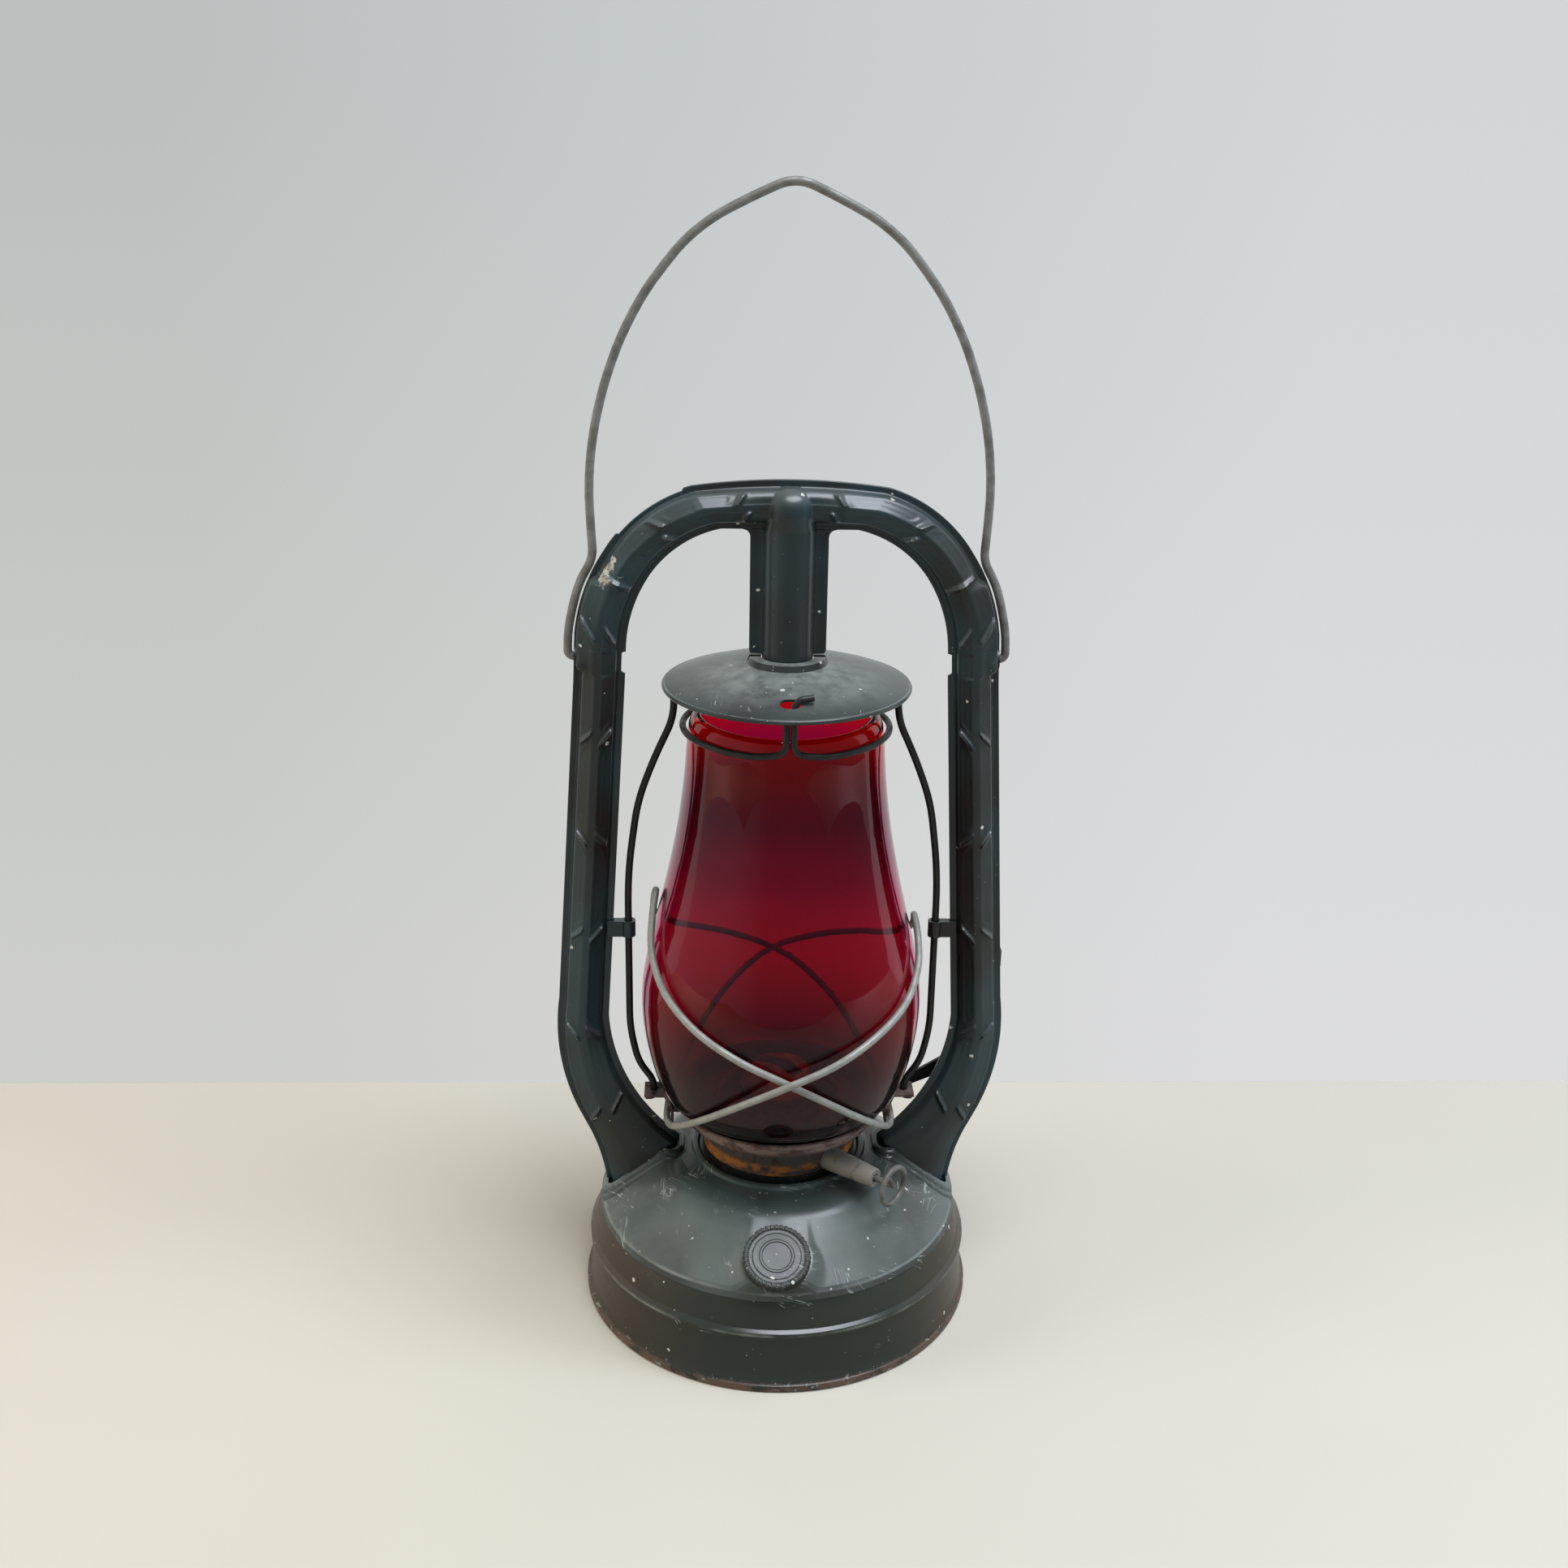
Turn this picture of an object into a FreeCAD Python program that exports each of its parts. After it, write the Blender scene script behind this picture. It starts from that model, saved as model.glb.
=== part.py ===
import FreeCAD, Part
import math
import os
import re

import Sketcher
from FreeCAD import Placement, Rotation, Vector

# Hot-blast tubular lantern, millimetres, +Z up, origin on the floor under the burner.
# The filler cap faces -Y and the lift lever is on the +X side.
doc = FreeCAD.newDocument("hurricane_lantern")
sheet = doc.addObject("Spreadsheet::Sheet", "Sizes")

DRIVING_SIZES = [
    # Sheet metal, wire and running room
    ("tinplate", 0.8, "wall of the stamped and spun sheet parts"),
    ("gap", 0.3, "room between curved faces of neighbouring parts"),
    ("pivot_room", 0.06, "radial room of a pin in its hole"),
    ("lift_wire", 2.8, "diameter of the wires that carry the globe plate"),
    ("guard_wire", 2.8, "diameter of the wires round the globe"),
    ("bail_wire", 3.2, "diameter of the carrying bail"),
    # Fuel tank
    ("rim_radius", 80, "outside of the rolled foot"),
    ("hem_height", 3.2, "height of the rolled foot"),
    ("hem_depth", 2.8, "radial depth of the rolled foot"),
    ("skirt_foot_radius", 79.0, "skirt just above the rolled foot"),
    ("skirt_mid_radius", 77.2, "skirt just under the pressed ridge"),
    ("ridge_radius", 78.0, "crest of the pressed ridge"),
    ("ridge_height", 25, "height of the pressed ridge"),
    ("ridge_half", 1.2, "half height of the pressed ridge"),
    ("waist_radius", 76.5, "skirt just above the pressed ridge"),
    ("shoulder_radius", 73.5, "edge where the skirt meets the tank top"),
    ("shoulder_height", 38.4, "height of that edge"),
    ("shoulder_lap", 1.0, "depth of the tank top's turned edge"),
    ("seam_width", 3.2, "flange under the shoulder"),
    ("bottom_height", 7, "underside of the tank bottom"),
    ("bottom_flange", 4, "height of the bottom's turned edge"),
    ("slope_foot_radius", 72.4, "foot of the sloping tank top"),
    ("slope_foot_height", 41.3, "height there"),
    ("slope_top_radius", 48, "top of the slope"),
    ("slope_top_height", 60.5, "height there"),
    ("crown_foot_radius", 36.6, "outer foot of the bead round the burner"),
    ("crown_radius", 34.4, "crest of that bead"),
    ("crown_rise", 1.1, "height of that bead"),
    ("mouth_radius", 27.6, "burner hole in the tank top"),
    ("mouth_height", 62.2, "flat ring round the burner hole"),
    # Filler
    ("filler_distance", 63.8, "filler axis from the lantern axis"),
    ("filler_shift", 2.4, "filler axis to the left of the middle"),
    ("filler_tilt", 30, "lean of the filler, degrees"),
    ("boss_radius", 15.4, "foot of the filler boss"),
    ("boss_top_radius", 13.4, "flat top of the filler boss"),
    ("boss_depth", 5.0, "boss below its flat top"),
    ("boss_rise", 2.2, "boss above the slope"),
    ("neck_radius", 10.2, "outside of the filler neck"),
    ("neck_wall", 1.1, "wall of the filler neck"),
    ("neck_rise", 2.8, "neck above the boss"),
    ("gasket_thick", 0.9, "cork ring under the cap"),
    ("cap_radius", 13.2, "outside of the filler cap"),
    ("cap_height", 4.5, "height of the filler cap"),
    ("cap_top", 1.1, "top wall of the cap"),
    ("cap_flute", 0.45, "radius of the grip flutes"),
    ("cap_flutes", 36, "number of grip flutes"),
    # Burner
    ("collar_radius", 31.4, "outside of the burner collar"),
    ("collar_height", 3.4, "height of the burner collar"),
    ("burner_radius", 31.0, "outside of the air chamber"),
    ("burner_floor", 60.0, "underside of the burner"),
    ("burner_top", 79.0, "top edge of the air chamber"),
    ("air_hole_radius", 14, "opening in the air plate"),
    ("cone_base_radius", 20.5, "flange of the flame cone"),
    ("cone_waist_radius", 17.2, "flame cone above its flange"),
    ("cone_height", 21, "flame cone above the air plate"),
    ("cone_wall", 0.7, "wall of the flame cone"),
    ("flame_slot", 20, "length of the slot in the flame cone"),
    ("flame_slot_width", 6.4, "width of that slot"),
    ("wick_width", 15.6, "flat wick"),
    ("wick_thick", 2.2, "flat wick"),
    ("wick_foot", 16, "lower end of the wick in the tank"),
    ("wick_show", 2, "wick above its tube at rest"),
    ("wick_tube_wall", 0.7, "wall of the wick tube"),
    ("wick_tube_foot", 52, "lower end of the wick tube"),
    ("wick_tube_top", 93, "upper end of the wick tube"),
    ("spindle_azimuth", -40.2, "direction in which the wick spindle leaves, degrees"),
    ("spindle_height", 69.3, "height of the wick spindle"),
    ("spindle_wire", 2.4, "diameter of the wick spindle"),
    ("spindle_inner", 9, "inner end of the spindle past the middle"),
    ("wheel_radius", 3.5, "toothed wick wheels"),
    ("wheel_thick", 1, "toothed wick wheels"),
    ("wheel_spread", 4.6, "each wick wheel from the middle of the wick"),
    ("wheel_teeth", 10, "teeth of a wick wheel"),
    ("tooth_depth", 0.9, "teeth of a wick wheel"),
    ("sleeve_radius", 2.5, "outside of the spindle sleeve"),
    ("sleeve_reach", 52, "outer end of the sleeve from the axis"),
    ("knob_reach", 61.5, "finger ring from the axis"),
    ("knob_radius", 7.6, "middle line of the finger ring"),
    ("knob_wire", 2.2, "wire of the finger ring"),
    # Globe plate
    ("plate_inner_radius", 24.2, "top of the pierced cone"),
    ("plate_cone_radius", 27.6, "foot of the pierced cone"),
    ("plate_cone_height", 7.6, "height of the pierced cone"),
    ("plate_floor_radius", 39.2, "edge of the flat floor"),
    ("plate_rim_radius", 41.8, "middle of the rolled rim"),
    ("plate_rim_rise", 5.8, "rolled rim above the plate's underside"),
    ("plate_rim_wire", 1.1, "radius of the rolled rim"),
    ("plate_holes", 24, "air holes in each row"),
    ("plate_hole_radius", 0.9, "air holes of the pierced cone"),
    ("ear_half", 5.5, "half width of the plate's two ears"),
    ("ear_foot", 74.6, "lower end of the ears"),
    ("ear_inner", 43.3, "inner face of the ears"),
    ("ear_thick", 1.1, "sheet of the ears"),
    ("ear_shelf", 86.6, "underside of the ears' shelf"),
    ("ear_lean", 2.6, "outward lean of the ears"),
    ("ear_reach", 55.2, "outer end of the shelf"),
    # Globe
    ("glass", 2.6, "wall of the globe"),
    ("globe_foot_radius", 37.6, "globe where it stands on its plate"),
    ("globe_neck_radius", 38.6, "lower neck"),
    ("globe_neck_rise", 5.8, "height of the lower neck"),
    ("globe_heel_radius", 47.4, "globe where its heel turns upright"),
    ("globe_heel_height", 92, "height there"),
    ("globe_cheek_radius", 50.7, "globe below its belly"),
    ("globe_cheek_height", 100, "height there"),
    ("globe_belly_radius", 55.9, "widest part of the globe"),
    ("globe_belly_height", 129, "height there"),
    ("globe_flank_radius", 52.0, "where the belly turns into the flank"),
    ("globe_flank_height", 157, "height there"),
    ("globe_waist_radius", 45.3, "lower end of the throat"),
    ("globe_waist_height", 185, "height there"),
    ("globe_throat_radius", 37.4, "upper end of the throat"),
    ("globe_throat_height", 245, "height there"),
    ("globe_lip_radius", 34.8, "upper lip"),
    ("globe_height", 170.4, "whole globe, 6 3/4 inch"),
    # Canopy and globe ring
    ("canopy_radius", 46.2, "rim of the canopy"),
    ("canopy_rim_height", 261.6, "height of the canopy's rim"),
    ("canopy_rim_wire", 0.9, "radius of the rolled rim"),
    ("canopy_neck_radius", 15.2, "foot of the canopy's collar"),
    ("canopy_neck_height", 270.4, "height there"),
    ("canopy_dome", 140, "radius of the canopy's crown"),
    ("canopy_top_height", 272.6, "top of the canopy's collar"),
    ("catch_distance", 37, "catch slot from the axis"),
    ("catch_width", 8, "length of the catch slot"),
    ("catch_depth", 5.6, "width of the catch slot"),
    ("ring_radius", 39.2, "wire ring round the top of the globe"),
    ("ring_height", 245.6, "height of that ring"),
    ("ring_wire", 2.5, "diameter of that ring's wire"),
    ("ring_tip", 8.4, "tip of that wire beyond the middle"),
    # Frame of two stamped halves: outer edge
    ("foot_spread", 71.4, "outer end of the foot"),
    ("foot_height", 46, "height there"),
    ("ankle_spread", 77.5, "outer edge above the foot"),
    ("ankle_height", 68.5, "height there"),
    ("shin_spread", 82.5, "outer edge below the knee"),
    ("shin_height", 79.3, "height there"),
    ("thigh_spread", 88.9, "outer edge above the knee"),
    ("thigh_height", 130, "height there"),
    ("hip_spread", 80.1, "outer edge under the bail"),
    ("hip_height", 262, "height there"),
    ("bail_seat_spread", 79.2, "outer edge beside the bail"),
    ("bail_seat_height", 281, "height there"),
    ("haunch_spread", 67.9, "outer edge on the arch's shoulder"),
    ("haunch_height", 312, "height there"),
    ("brow_spread", 36, "end of the nearly flat crown"),
    ("brow_drop", 2.6, "fall of the crown there"),
    ("frame_height", 338.8, "top of the arch"),
    # Frame: inner edge
    ("arch_band", 18.2, "depth of the arch at its middle"),
    ("window_flat", 25, "end of the window's flat top"),
    ("window_haunch_spread", 51, "inner edge on the window's shoulder"),
    ("window_haunch_height", 303.3, "height there"),
    ("window_side_spread", 60.2, "inner edge below that shoulder"),
    ("window_side_height", 275, "height there"),
    ("waist_spread", 60.8, "inner edge beside the canopy"),
    ("calf_spread", 69.2, "inner edge above the knee"),
    ("calf_height", 122, "height there"),
    ("foot_inner_spread", 41, "inner end of the foot"),
    ("instep_height", 66.4, "inner edge above the foot"),
    # Frame: section and pressings
    ("flange", 2.6, "width of the crimped flange"),
    ("flange_thick", 0.7, "each half's flange"),
    ("wall_depth", 4.5, "steep part of the tube wall"),
    ("wall_draft", 12, "its draft, degrees"),
    ("panel_depth", 3.9, "sloping panels of the tube"),
    ("panel_draft", 46, "their draft, degrees"),
    ("rib_radius", 0.9, "pressed cross ribs"),
    ("centre_flange", 14.4, "half width of the centre tube's flanges"),
    ("centre_flange_foot", 273.6, "lower end of those flanges"),
    ("centre_corner", 3, "corner between them and the arch"),
    ("centre_radius", 9.4, "centre tube"),
    ("centre_foot", 261, "lower end of the centre tube"),
    ("head_height", 334.6, "top of the domed head"),
    ("head_radius", 7, "rounding of the domed head"),
    ("notch_low", 267, "notches in the inner flanges"),
    ("notch_high", 275, "notches in the inner flanges"),
    ("notch_depth", 1.6, "notches in the inner flanges"),
    # Sockets of the tube feet, bail and its eyelets
    ("socket_wall", 1.2, "sockets round the tube feet"),
    ("socket_rise", 3.4, "height of the sockets on the slope"),
    ("pivot_height", 272, "bail pivots"),
    ("eyelet_radius", 4.2, "outside of the eyelets"),
    ("eyelet_inner", 74.6, "inner end of the eyelets"),
    ("eyelet_outer", 79.4, "outer end of the eyelets"),
    ("bail_spread", 81.9, "bail beside its eyelets"),
    ("bail_pin_end", 76.6, "inner ends of the bail"),
    ("bail_height", 442, "top of the bail's middle line"),
    # Lift wires, guides and lever
    ("wire_spread", 60.8, "straight part of the lift wires"),
    ("wire_top_spread", 42.4, "lift wires under the canopy"),
    ("wire_foot_spread", 51.2, "lift wires through the ears"),
    ("wire_hook", 3.6, "hook under the ears"),
    ("guide_low", 157.2, "lower end of the wire guides"),
    ("guide_high", 163.8, "upper end of the wire guides"),
    ("guide_wall", 1.1, "wall of the wire guides"),
    ("guide_reach", 69.0, "outer end of the guides' forks"),
    ("lever_spread", 78, "lever pivot"),
    ("lever_height", 99, "lever pivot"),
    ("lever_thick", 1.4, "strip of the lever"),
    ("spacer_thick", 1.2, "spacer between tube and lever"),
    ("spacer_radius", 3.4, "outside of that spacer"),
    ("rivet_radius", 1.7, "lever pivot rivet"),
    ("rivet_head", 3.9, "head of that rivet"),
    ("rivet_head_thick", 1.1, "head of that rivet"),
    ("finger_spread", 52.5, "finger that lifts the plate"),
    ("finger_radius", 1.5, "finger that lifts the plate"),
    ("finger_end", 2.4, "free end of that finger from the middle"),
    ("thumb_spread", 88.1, "thumb piece of the lever"),
    ("thumb_height", 142.4, "thumb piece of the lever"),
]
ALIASES = {alias for alias, _, _ in DRIVING_SIZES}

for line, (alias, value, note) in enumerate(DRIVING_SIZES, start=1):
    sheet.set(f"A{line}", note)
    sheet.set(f"B{line}", str(value))
    sheet.setAlias(f"B{line}", alias)
doc.recompute()

UP = Vector(0, 0, 1)
ACROSS = Vector(0, 1, 0)
SIDEWAYS = Vector(1, 0, 0)

def full(text):
    """Expression with every name of the sheet written out, such as Sizes.rim_radius - 2."""
    return re.sub(r"[a-z_]+", lambda word: f"Sizes.{word[0]}" if word[0] in ALIASES else word[0], text)

def size(text):
    """Value of an expression of the sheet's names, such as rim_radius - 2."""
    value = sheet.evalExpression(full(text))
    return float(getattr(value, "Value", value))

def bind(item, **expressions):
    """Tie properties of a document object to expressions of the sheet's names."""
    for name, text in expressions.items():
        item.setExpression(name, full(text))

def new_body(name):
    body = doc.addObject("PartDesign::Body", name)
    body.Label = name
    return body

def origin_item(body, role):
    return next(item for item in body.Origin.OriginFeatures if item.Role == role)

def place(item, x="0", y="0", z="0", axis=UP, angle="0"):
    """Put an object at a point, turned about an axis, by expressions of the sizes."""
    item.Placement = Placement(Vector(size(x), size(y), size(z)), Rotation(axis, size(angle)))
    item.setExpression(".Placement.Base.x", full(x))
    item.setExpression(".Placement.Base.y", full(y))
    item.setExpression(".Placement.Base.z", full(z))
    if size(angle):
        item.setExpression(".Placement.Rotation.Angle", full(angle))

def new_sketch(body, name, role, lift):
    """Empty sketch on one of the body's origin planes, lifted along its normal."""
    sketch = body.newObject("Sketcher::SketchObject", name)
    sketch.AttachmentSupport = (origin_item(body, role), [""])
    sketch.MapMode = "FlatFace"
    sketch.AttachmentOffset = Placement(Vector(0, 0, size(lift)), Rotation())
    sketch.setExpression(".AttachmentOffset.Base.z", full(lift))
    return sketch

def constrain(sketch, pairs):
    """Add constraints, each with the expression that drives it or None."""
    first = sketch.ConstraintCount
    sketch.addConstraint([constraint for constraint, _ in pairs])
    for spot, (_, text) in enumerate(pairs, start=first):
        if text and re.search("[a-z]", text):
            sketch.setExpression(f"Constraints[{spot}]", full(text))

def held(geometry, end, x, y):
    """Constraints that fix one point of a sketch curve at x, y."""
    pairs = []
    for kind, axis_line, text in (("DistanceX", -2, x), ("DistanceY", -1, y)):
        value = size(text)
        if abs(value) < 1e-9:
            pairs.append((Sketcher.Constraint("PointOnObject", geometry, end, axis_line), None))
        else:
            pairs.append((Sketcher.Constraint(kind, -1, 1, geometry, end, value), text))
    return pairs

def arc_between(start, finish, radius):
    """Arc to the left of travel when the radius is positive, to the right when negative."""
    chord = finish - start
    side = Vector(-chord.y, chord.x, 0).normalize() * math.copysign(1, radius)
    middle = (start + finish) / 2 + side * math.sqrt(radius**2 - (chord.Length / 2) ** 2)
    first, last = (start, finish) if radius > 0 else (finish, start)
    angles = [math.atan2(point.y - middle.y, point.x - middle.x) for point in (first, last)]
    return Part.ArcOfCircle(Part.Circle(middle, UP, abs(radius)), angles[0], angles[1])

def add_loop(sketch, corners):
    """Add a closed line through corners (x, y) or (x, y, radius of the arc that ends there)."""
    base = sketch.GeometryCount
    points = [Vector(size(corner[0]), size(corner[1]), 0) for corner in corners]
    curves, ends, pairs = [], [], []
    for index, corner in enumerate(corners):
        number = base + index
        start, finish = points[index - 1], points[index]
        if len(corner) == 2:
            curves.append(Part.LineSegment(start, finish))
            ends.append((number, 1, 2))
            continue
        radius = size(corner[2])
        curves.append(arc_between(start, finish, radius))
        ends.append((number, 1, 2) if radius > 0 else (number, 2, 1))
        text = corner[2] if radius > 0 else f"-({corner[2]})"
        pairs.append((Sketcher.Constraint("Radius", number, abs(radius)), text))
    sketch.addGeometry(curves)
    for index, corner in enumerate(corners):
        arriving, leaving = ends[index], ends[(index + 1) % len(ends)]
        meet = Sketcher.Constraint("Coincident", arriving[0], arriving[2], leaving[0], leaving[1])
        pairs.append((meet, None))
        pairs += held(arriving[0], arriving[2], corner[0], corner[1])
    constrain(sketch, pairs)

def outline(body, name, role, corners, lift="0"):
    """Sketch of one closed line."""
    sketch = new_sketch(body, name, role, lift)
    add_loop(sketch, corners)
    return sketch

def disc(body, name, role, x, y, radius, lift="0"):
    """Sketch of one circle."""
    sketch = new_sketch(body, name, role, lift)
    sketch.addGeometry(Part.Circle(Vector(size(x), size(y), 0), UP, size(radius)))
    pairs = held(0, 3, x, y)
    pairs.append((Sketcher.Constraint("Radius", 0, size(radius)), radius))
    constrain(sketch, pairs)
    return sketch

def block(body, name, role, x0, y0, x1, y1, lift="0"):
    """Sketch of one rectangle between two corners."""
    return outline(body, name, role, [(x0, y0), (x1, y0), (x1, y1), (x0, y1)], lift)

def feature(body, kind, name, sketch, **expressions):
    """Sketch-based feature of a body, with its sizes tied to the sheet."""
    item = body.newObject(f"PartDesign::{kind}", name)
    item.Profile = sketch
    if kind in ("Revolution", "Groove"):
        item.ReferenceAxis = (sketch, ["V_Axis"])
        item.Angle = 360
    bind(item, **expressions)
    return item

def both_ways(item):
    """Make a pad or pocket run both ways from its sketch."""
    item.SideType = "Symmetric"
    return item

def backwards(item):
    """Make a pad or pocket run the other way from its sketch."""
    item.Reversed = True
    return item

def spun(name, corners):
    """Body turned about the upright axis from an outline in X and Z."""
    body = new_body(name)
    sketch = outline(body, f"{name}_outline", "XZ_Plane", corners)
    feature(body, "Revolution", f"{name}_turned", sketch)
    return body

def rod(body, kind, name, radius, length, x="0", y="0", z="0", axis=UP, angle="0"):
    """Additive or subtractive cylinder of a body."""
    item = body.newObject(f"PartDesign::{kind}Cylinder", name)
    bind(item, Radius=radius, Height=length)
    place(item, x, y, z, axis, angle)
    return item

def repeat_round(body, name, originals, count):
    """Polar pattern of features about the body's upright axis."""
    pattern = body.newObject("PartDesign::PolarPattern", name)
    pattern.Originals = originals
    pattern.Axis = (origin_item(body, "Z_Axis"), [""])
    pattern.Angle = 360
    bind(pattern, Occurrences=count)
    body.Tip = pattern
    return pattern

# Signs of X on the two sides of the lantern
BOTH_SIDES = (("left", "-"), ("right", ""))

def signed(sign, corners):
    """Corners of an outline for the right side, or for the left side with a minus sign."""
    return [(f"{sign}({corner[0]})", *corner[1:]) for corner in corners]

# Bending wire: straight runs joined by tangent arcs, each arc as large as its two runs allow.
SHARE_OF_RUN = 0.45

def bend(points, index):
    """Start, middle, end and radius of the arc that rounds one corner of a line of points."""
    corner = points[index]
    back = points[index - 1] - corner
    ahead = points[(index + 1) % len(points)] - corner
    cut = SHARE_OF_RUN * min(back.Length, ahead.Length)
    back.normalize()
    ahead.normalize()
    half_turn = (math.pi - back.getAngle(ahead)) / 2
    radius = cut / math.tan(half_turn)
    inward = (back + ahead).normalize()
    nearest = corner + inward * (radius / math.cos(half_turn) - radius)
    return corner + back * cut, nearest, corner + ahead * cut, radius

def flat_wire(name, corners, diameter):
    """Body of round wire that is bent in the XZ plane and starts along X."""
    body = new_body(name)
    path = new_sketch(body, f"{name}_path", "XZ_Plane", "0")
    points = [Vector(size(x), size(z), 0) for x, z in corners]
    bends = {index: bend(points, index) for index in range(1, len(points) - 1)}
    curves, pairs = [], []
    for index in range(len(points) - 1):
        start = bends[index][2] if index in bends else points[index]
        finish = bends[index + 1][0] if index + 1 in bends else points[index + 1]
        curves.append(Part.LineSegment(start, finish))
    runs = len(curves)
    for index, (start, nearest, finish, radius) in bends.items():
        arc = runs + index - 1
        curves.append(Part.Arc(start, nearest, finish))
        turns_left = (nearest - start).cross(finish - nearest).z > 0
        near, far = (1, 2) if turns_left else (2, 1)
        pairs.append((Sketcher.Constraint("Tangent", index - 1, 2, arc, near), None))
        pairs.append((Sketcher.Constraint("Tangent", arc, far, index, 1), None))
        pairs.append((Sketcher.Constraint("Radius", arc, radius), None))
    path.addGeometry(curves)
    marks = path.addGeometry([Part.Point(points[index]) for index in bends], True)
    for mark, index in zip(marks, bends):
        pairs += held(mark, 1, *corners[index])
        pairs.append((Sketcher.Constraint("PointOnObject", mark, 1, index - 1), None))
        pairs.append((Sketcher.Constraint("PointOnObject", mark, 1, index), None))
    pairs += held(0, 1, *corners[0])
    pairs += held(runs - 1, 2, *corners[-1])
    constrain(path, pairs)
    section = disc(body, f"{name}_section", "YZ_Plane", "0", corners[0][1], f"{diameter} / 2", corners[0][0])
    pipe = feature(body, "AdditivePipe", f"{name}_pipe", section)
    order = [0]
    for index in bends:
        order += [runs + index - 1, index]
    pipe.Spine = (path, [f"Edge{number + 1}" for number in order])
    return body

def bent_wire(points, diameter, closed=False):
    """Solid of round wire along a line of points bent in space."""
    count = len(points)
    corners = range(count) if closed else range(1, count - 1)
    bends = {index: bend(points, index) for index in corners}
    edges = []
    for index in range(count if closed else count - 1):
        follower = (index + 1) % count
        start = bends[index][2] if index in bends else points[index]
        finish = bends[follower][0] if follower in bends else points[follower]
        edges.append(Part.LineSegment(start, finish).toShape())
        if follower in bends:
            edges.append(Part.Arc(*bends[follower][:3]).toShape())
    line = Part.Wire(edges)
    start = edges[0]
    direction = start.tangentAt(start.FirstParameter)
    ring = Part.Wire(Part.makeCircle(diameter / 2, start.valueAt(start.FirstParameter), direction))
    tube = line.makePipeShell([ring], True, False)
    return tube if tube.ShapeType == "Solid" else Part.Solid(Part.Shell(tube.Faces))

def formed(name, shape):
    """Piece whose form follows no single sketch."""
    item = doc.addObject("Part::Feature", name)
    item.Label = name
    item.Shape = shape
    return item

# The slope of the tank top, which the filler, the tube feet and their sockets follow
SLOPE = "((slope_top_height - slope_foot_height) / (slope_foot_radius - slope_top_radius))"

def slope_height(radius):
    return f"(slope_foot_height + (slope_foot_radius - ({radius})) * {SLOPE})"

def slope_line(rise):
    """The tank top's surface raised by a height, from outside inwards."""
    return [
        ("rim_radius + 4", f"{slope_height('rim_radius + 4')} + {rise}"),
        ("slope_top_radius", f"slope_top_height + {rise}"),
        ("crown_foot_radius", f"mouth_height + {rise}"),
        ("crown_radius", f"mouth_height + {rise}"),
    ]

BELOW = [("crown_radius", "slope_foot_height - 30"), ("rim_radius + 4", "slope_foot_height - 30")]
ABOVE = [("crown_radius", "slope_top_height + 40"), ("rim_radius + 4", "slope_top_height + 40")]
SLOPE_GAP = "gap * 1.3"

def tank_body():
    lap = "(shoulder_height - shoulder_lap)"
    inside = "(rim_radius - hem_depth)"
    spun("tank_body", [
        (inside, "0"),
        ("rim_radius", "0"),
        ("rim_radius", "hem_height"),
        ("skirt_foot_radius", "hem_height"),
        ("skirt_mid_radius", "ridge_height - ridge_half"),
        ("ridge_radius", "ridge_height"),
        ("waist_radius", "ridge_height + ridge_half"),
        ("shoulder_radius", lap),
        ("shoulder_radius - seam_width", lap),
        ("shoulder_radius - seam_width", f"{lap} - tinplate"),
        ("shoulder_radius - tinplate", f"{lap} - tinplate"),
        ("waist_radius - tinplate", "ridge_height + ridge_half"),
        ("ridge_radius - tinplate", "ridge_height"),
        ("skirt_mid_radius - tinplate", "ridge_height - ridge_half"),
        (inside, "ridge_height / 2"),
    ])

def tank_bottom():
    edge = "(rim_radius - hem_depth - gap)"
    spun("tank_bottom", [
        ("0", "bottom_height"),
        (f"{edge} - tinplate", "bottom_height"),
        (f"{edge} - tinplate", "bottom_height - bottom_flange"),
        (edge, "bottom_height - bottom_flange"),
        (edge, "bottom_height + tinplate"),
        ("0", "bottom_height + tinplate"),
    ])

def on_filler_axis(item, along="0"):
    """Stand an object, modelled upright, on the slope under the filler."""
    place(item, "-filler_shift", f"-filler_distance - ({along}) * sin(filler_tilt)",
          f"{slope_height('filler_distance')} + ({along}) * cos(filler_tilt)", SIDEWAYS, "filler_tilt")

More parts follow.
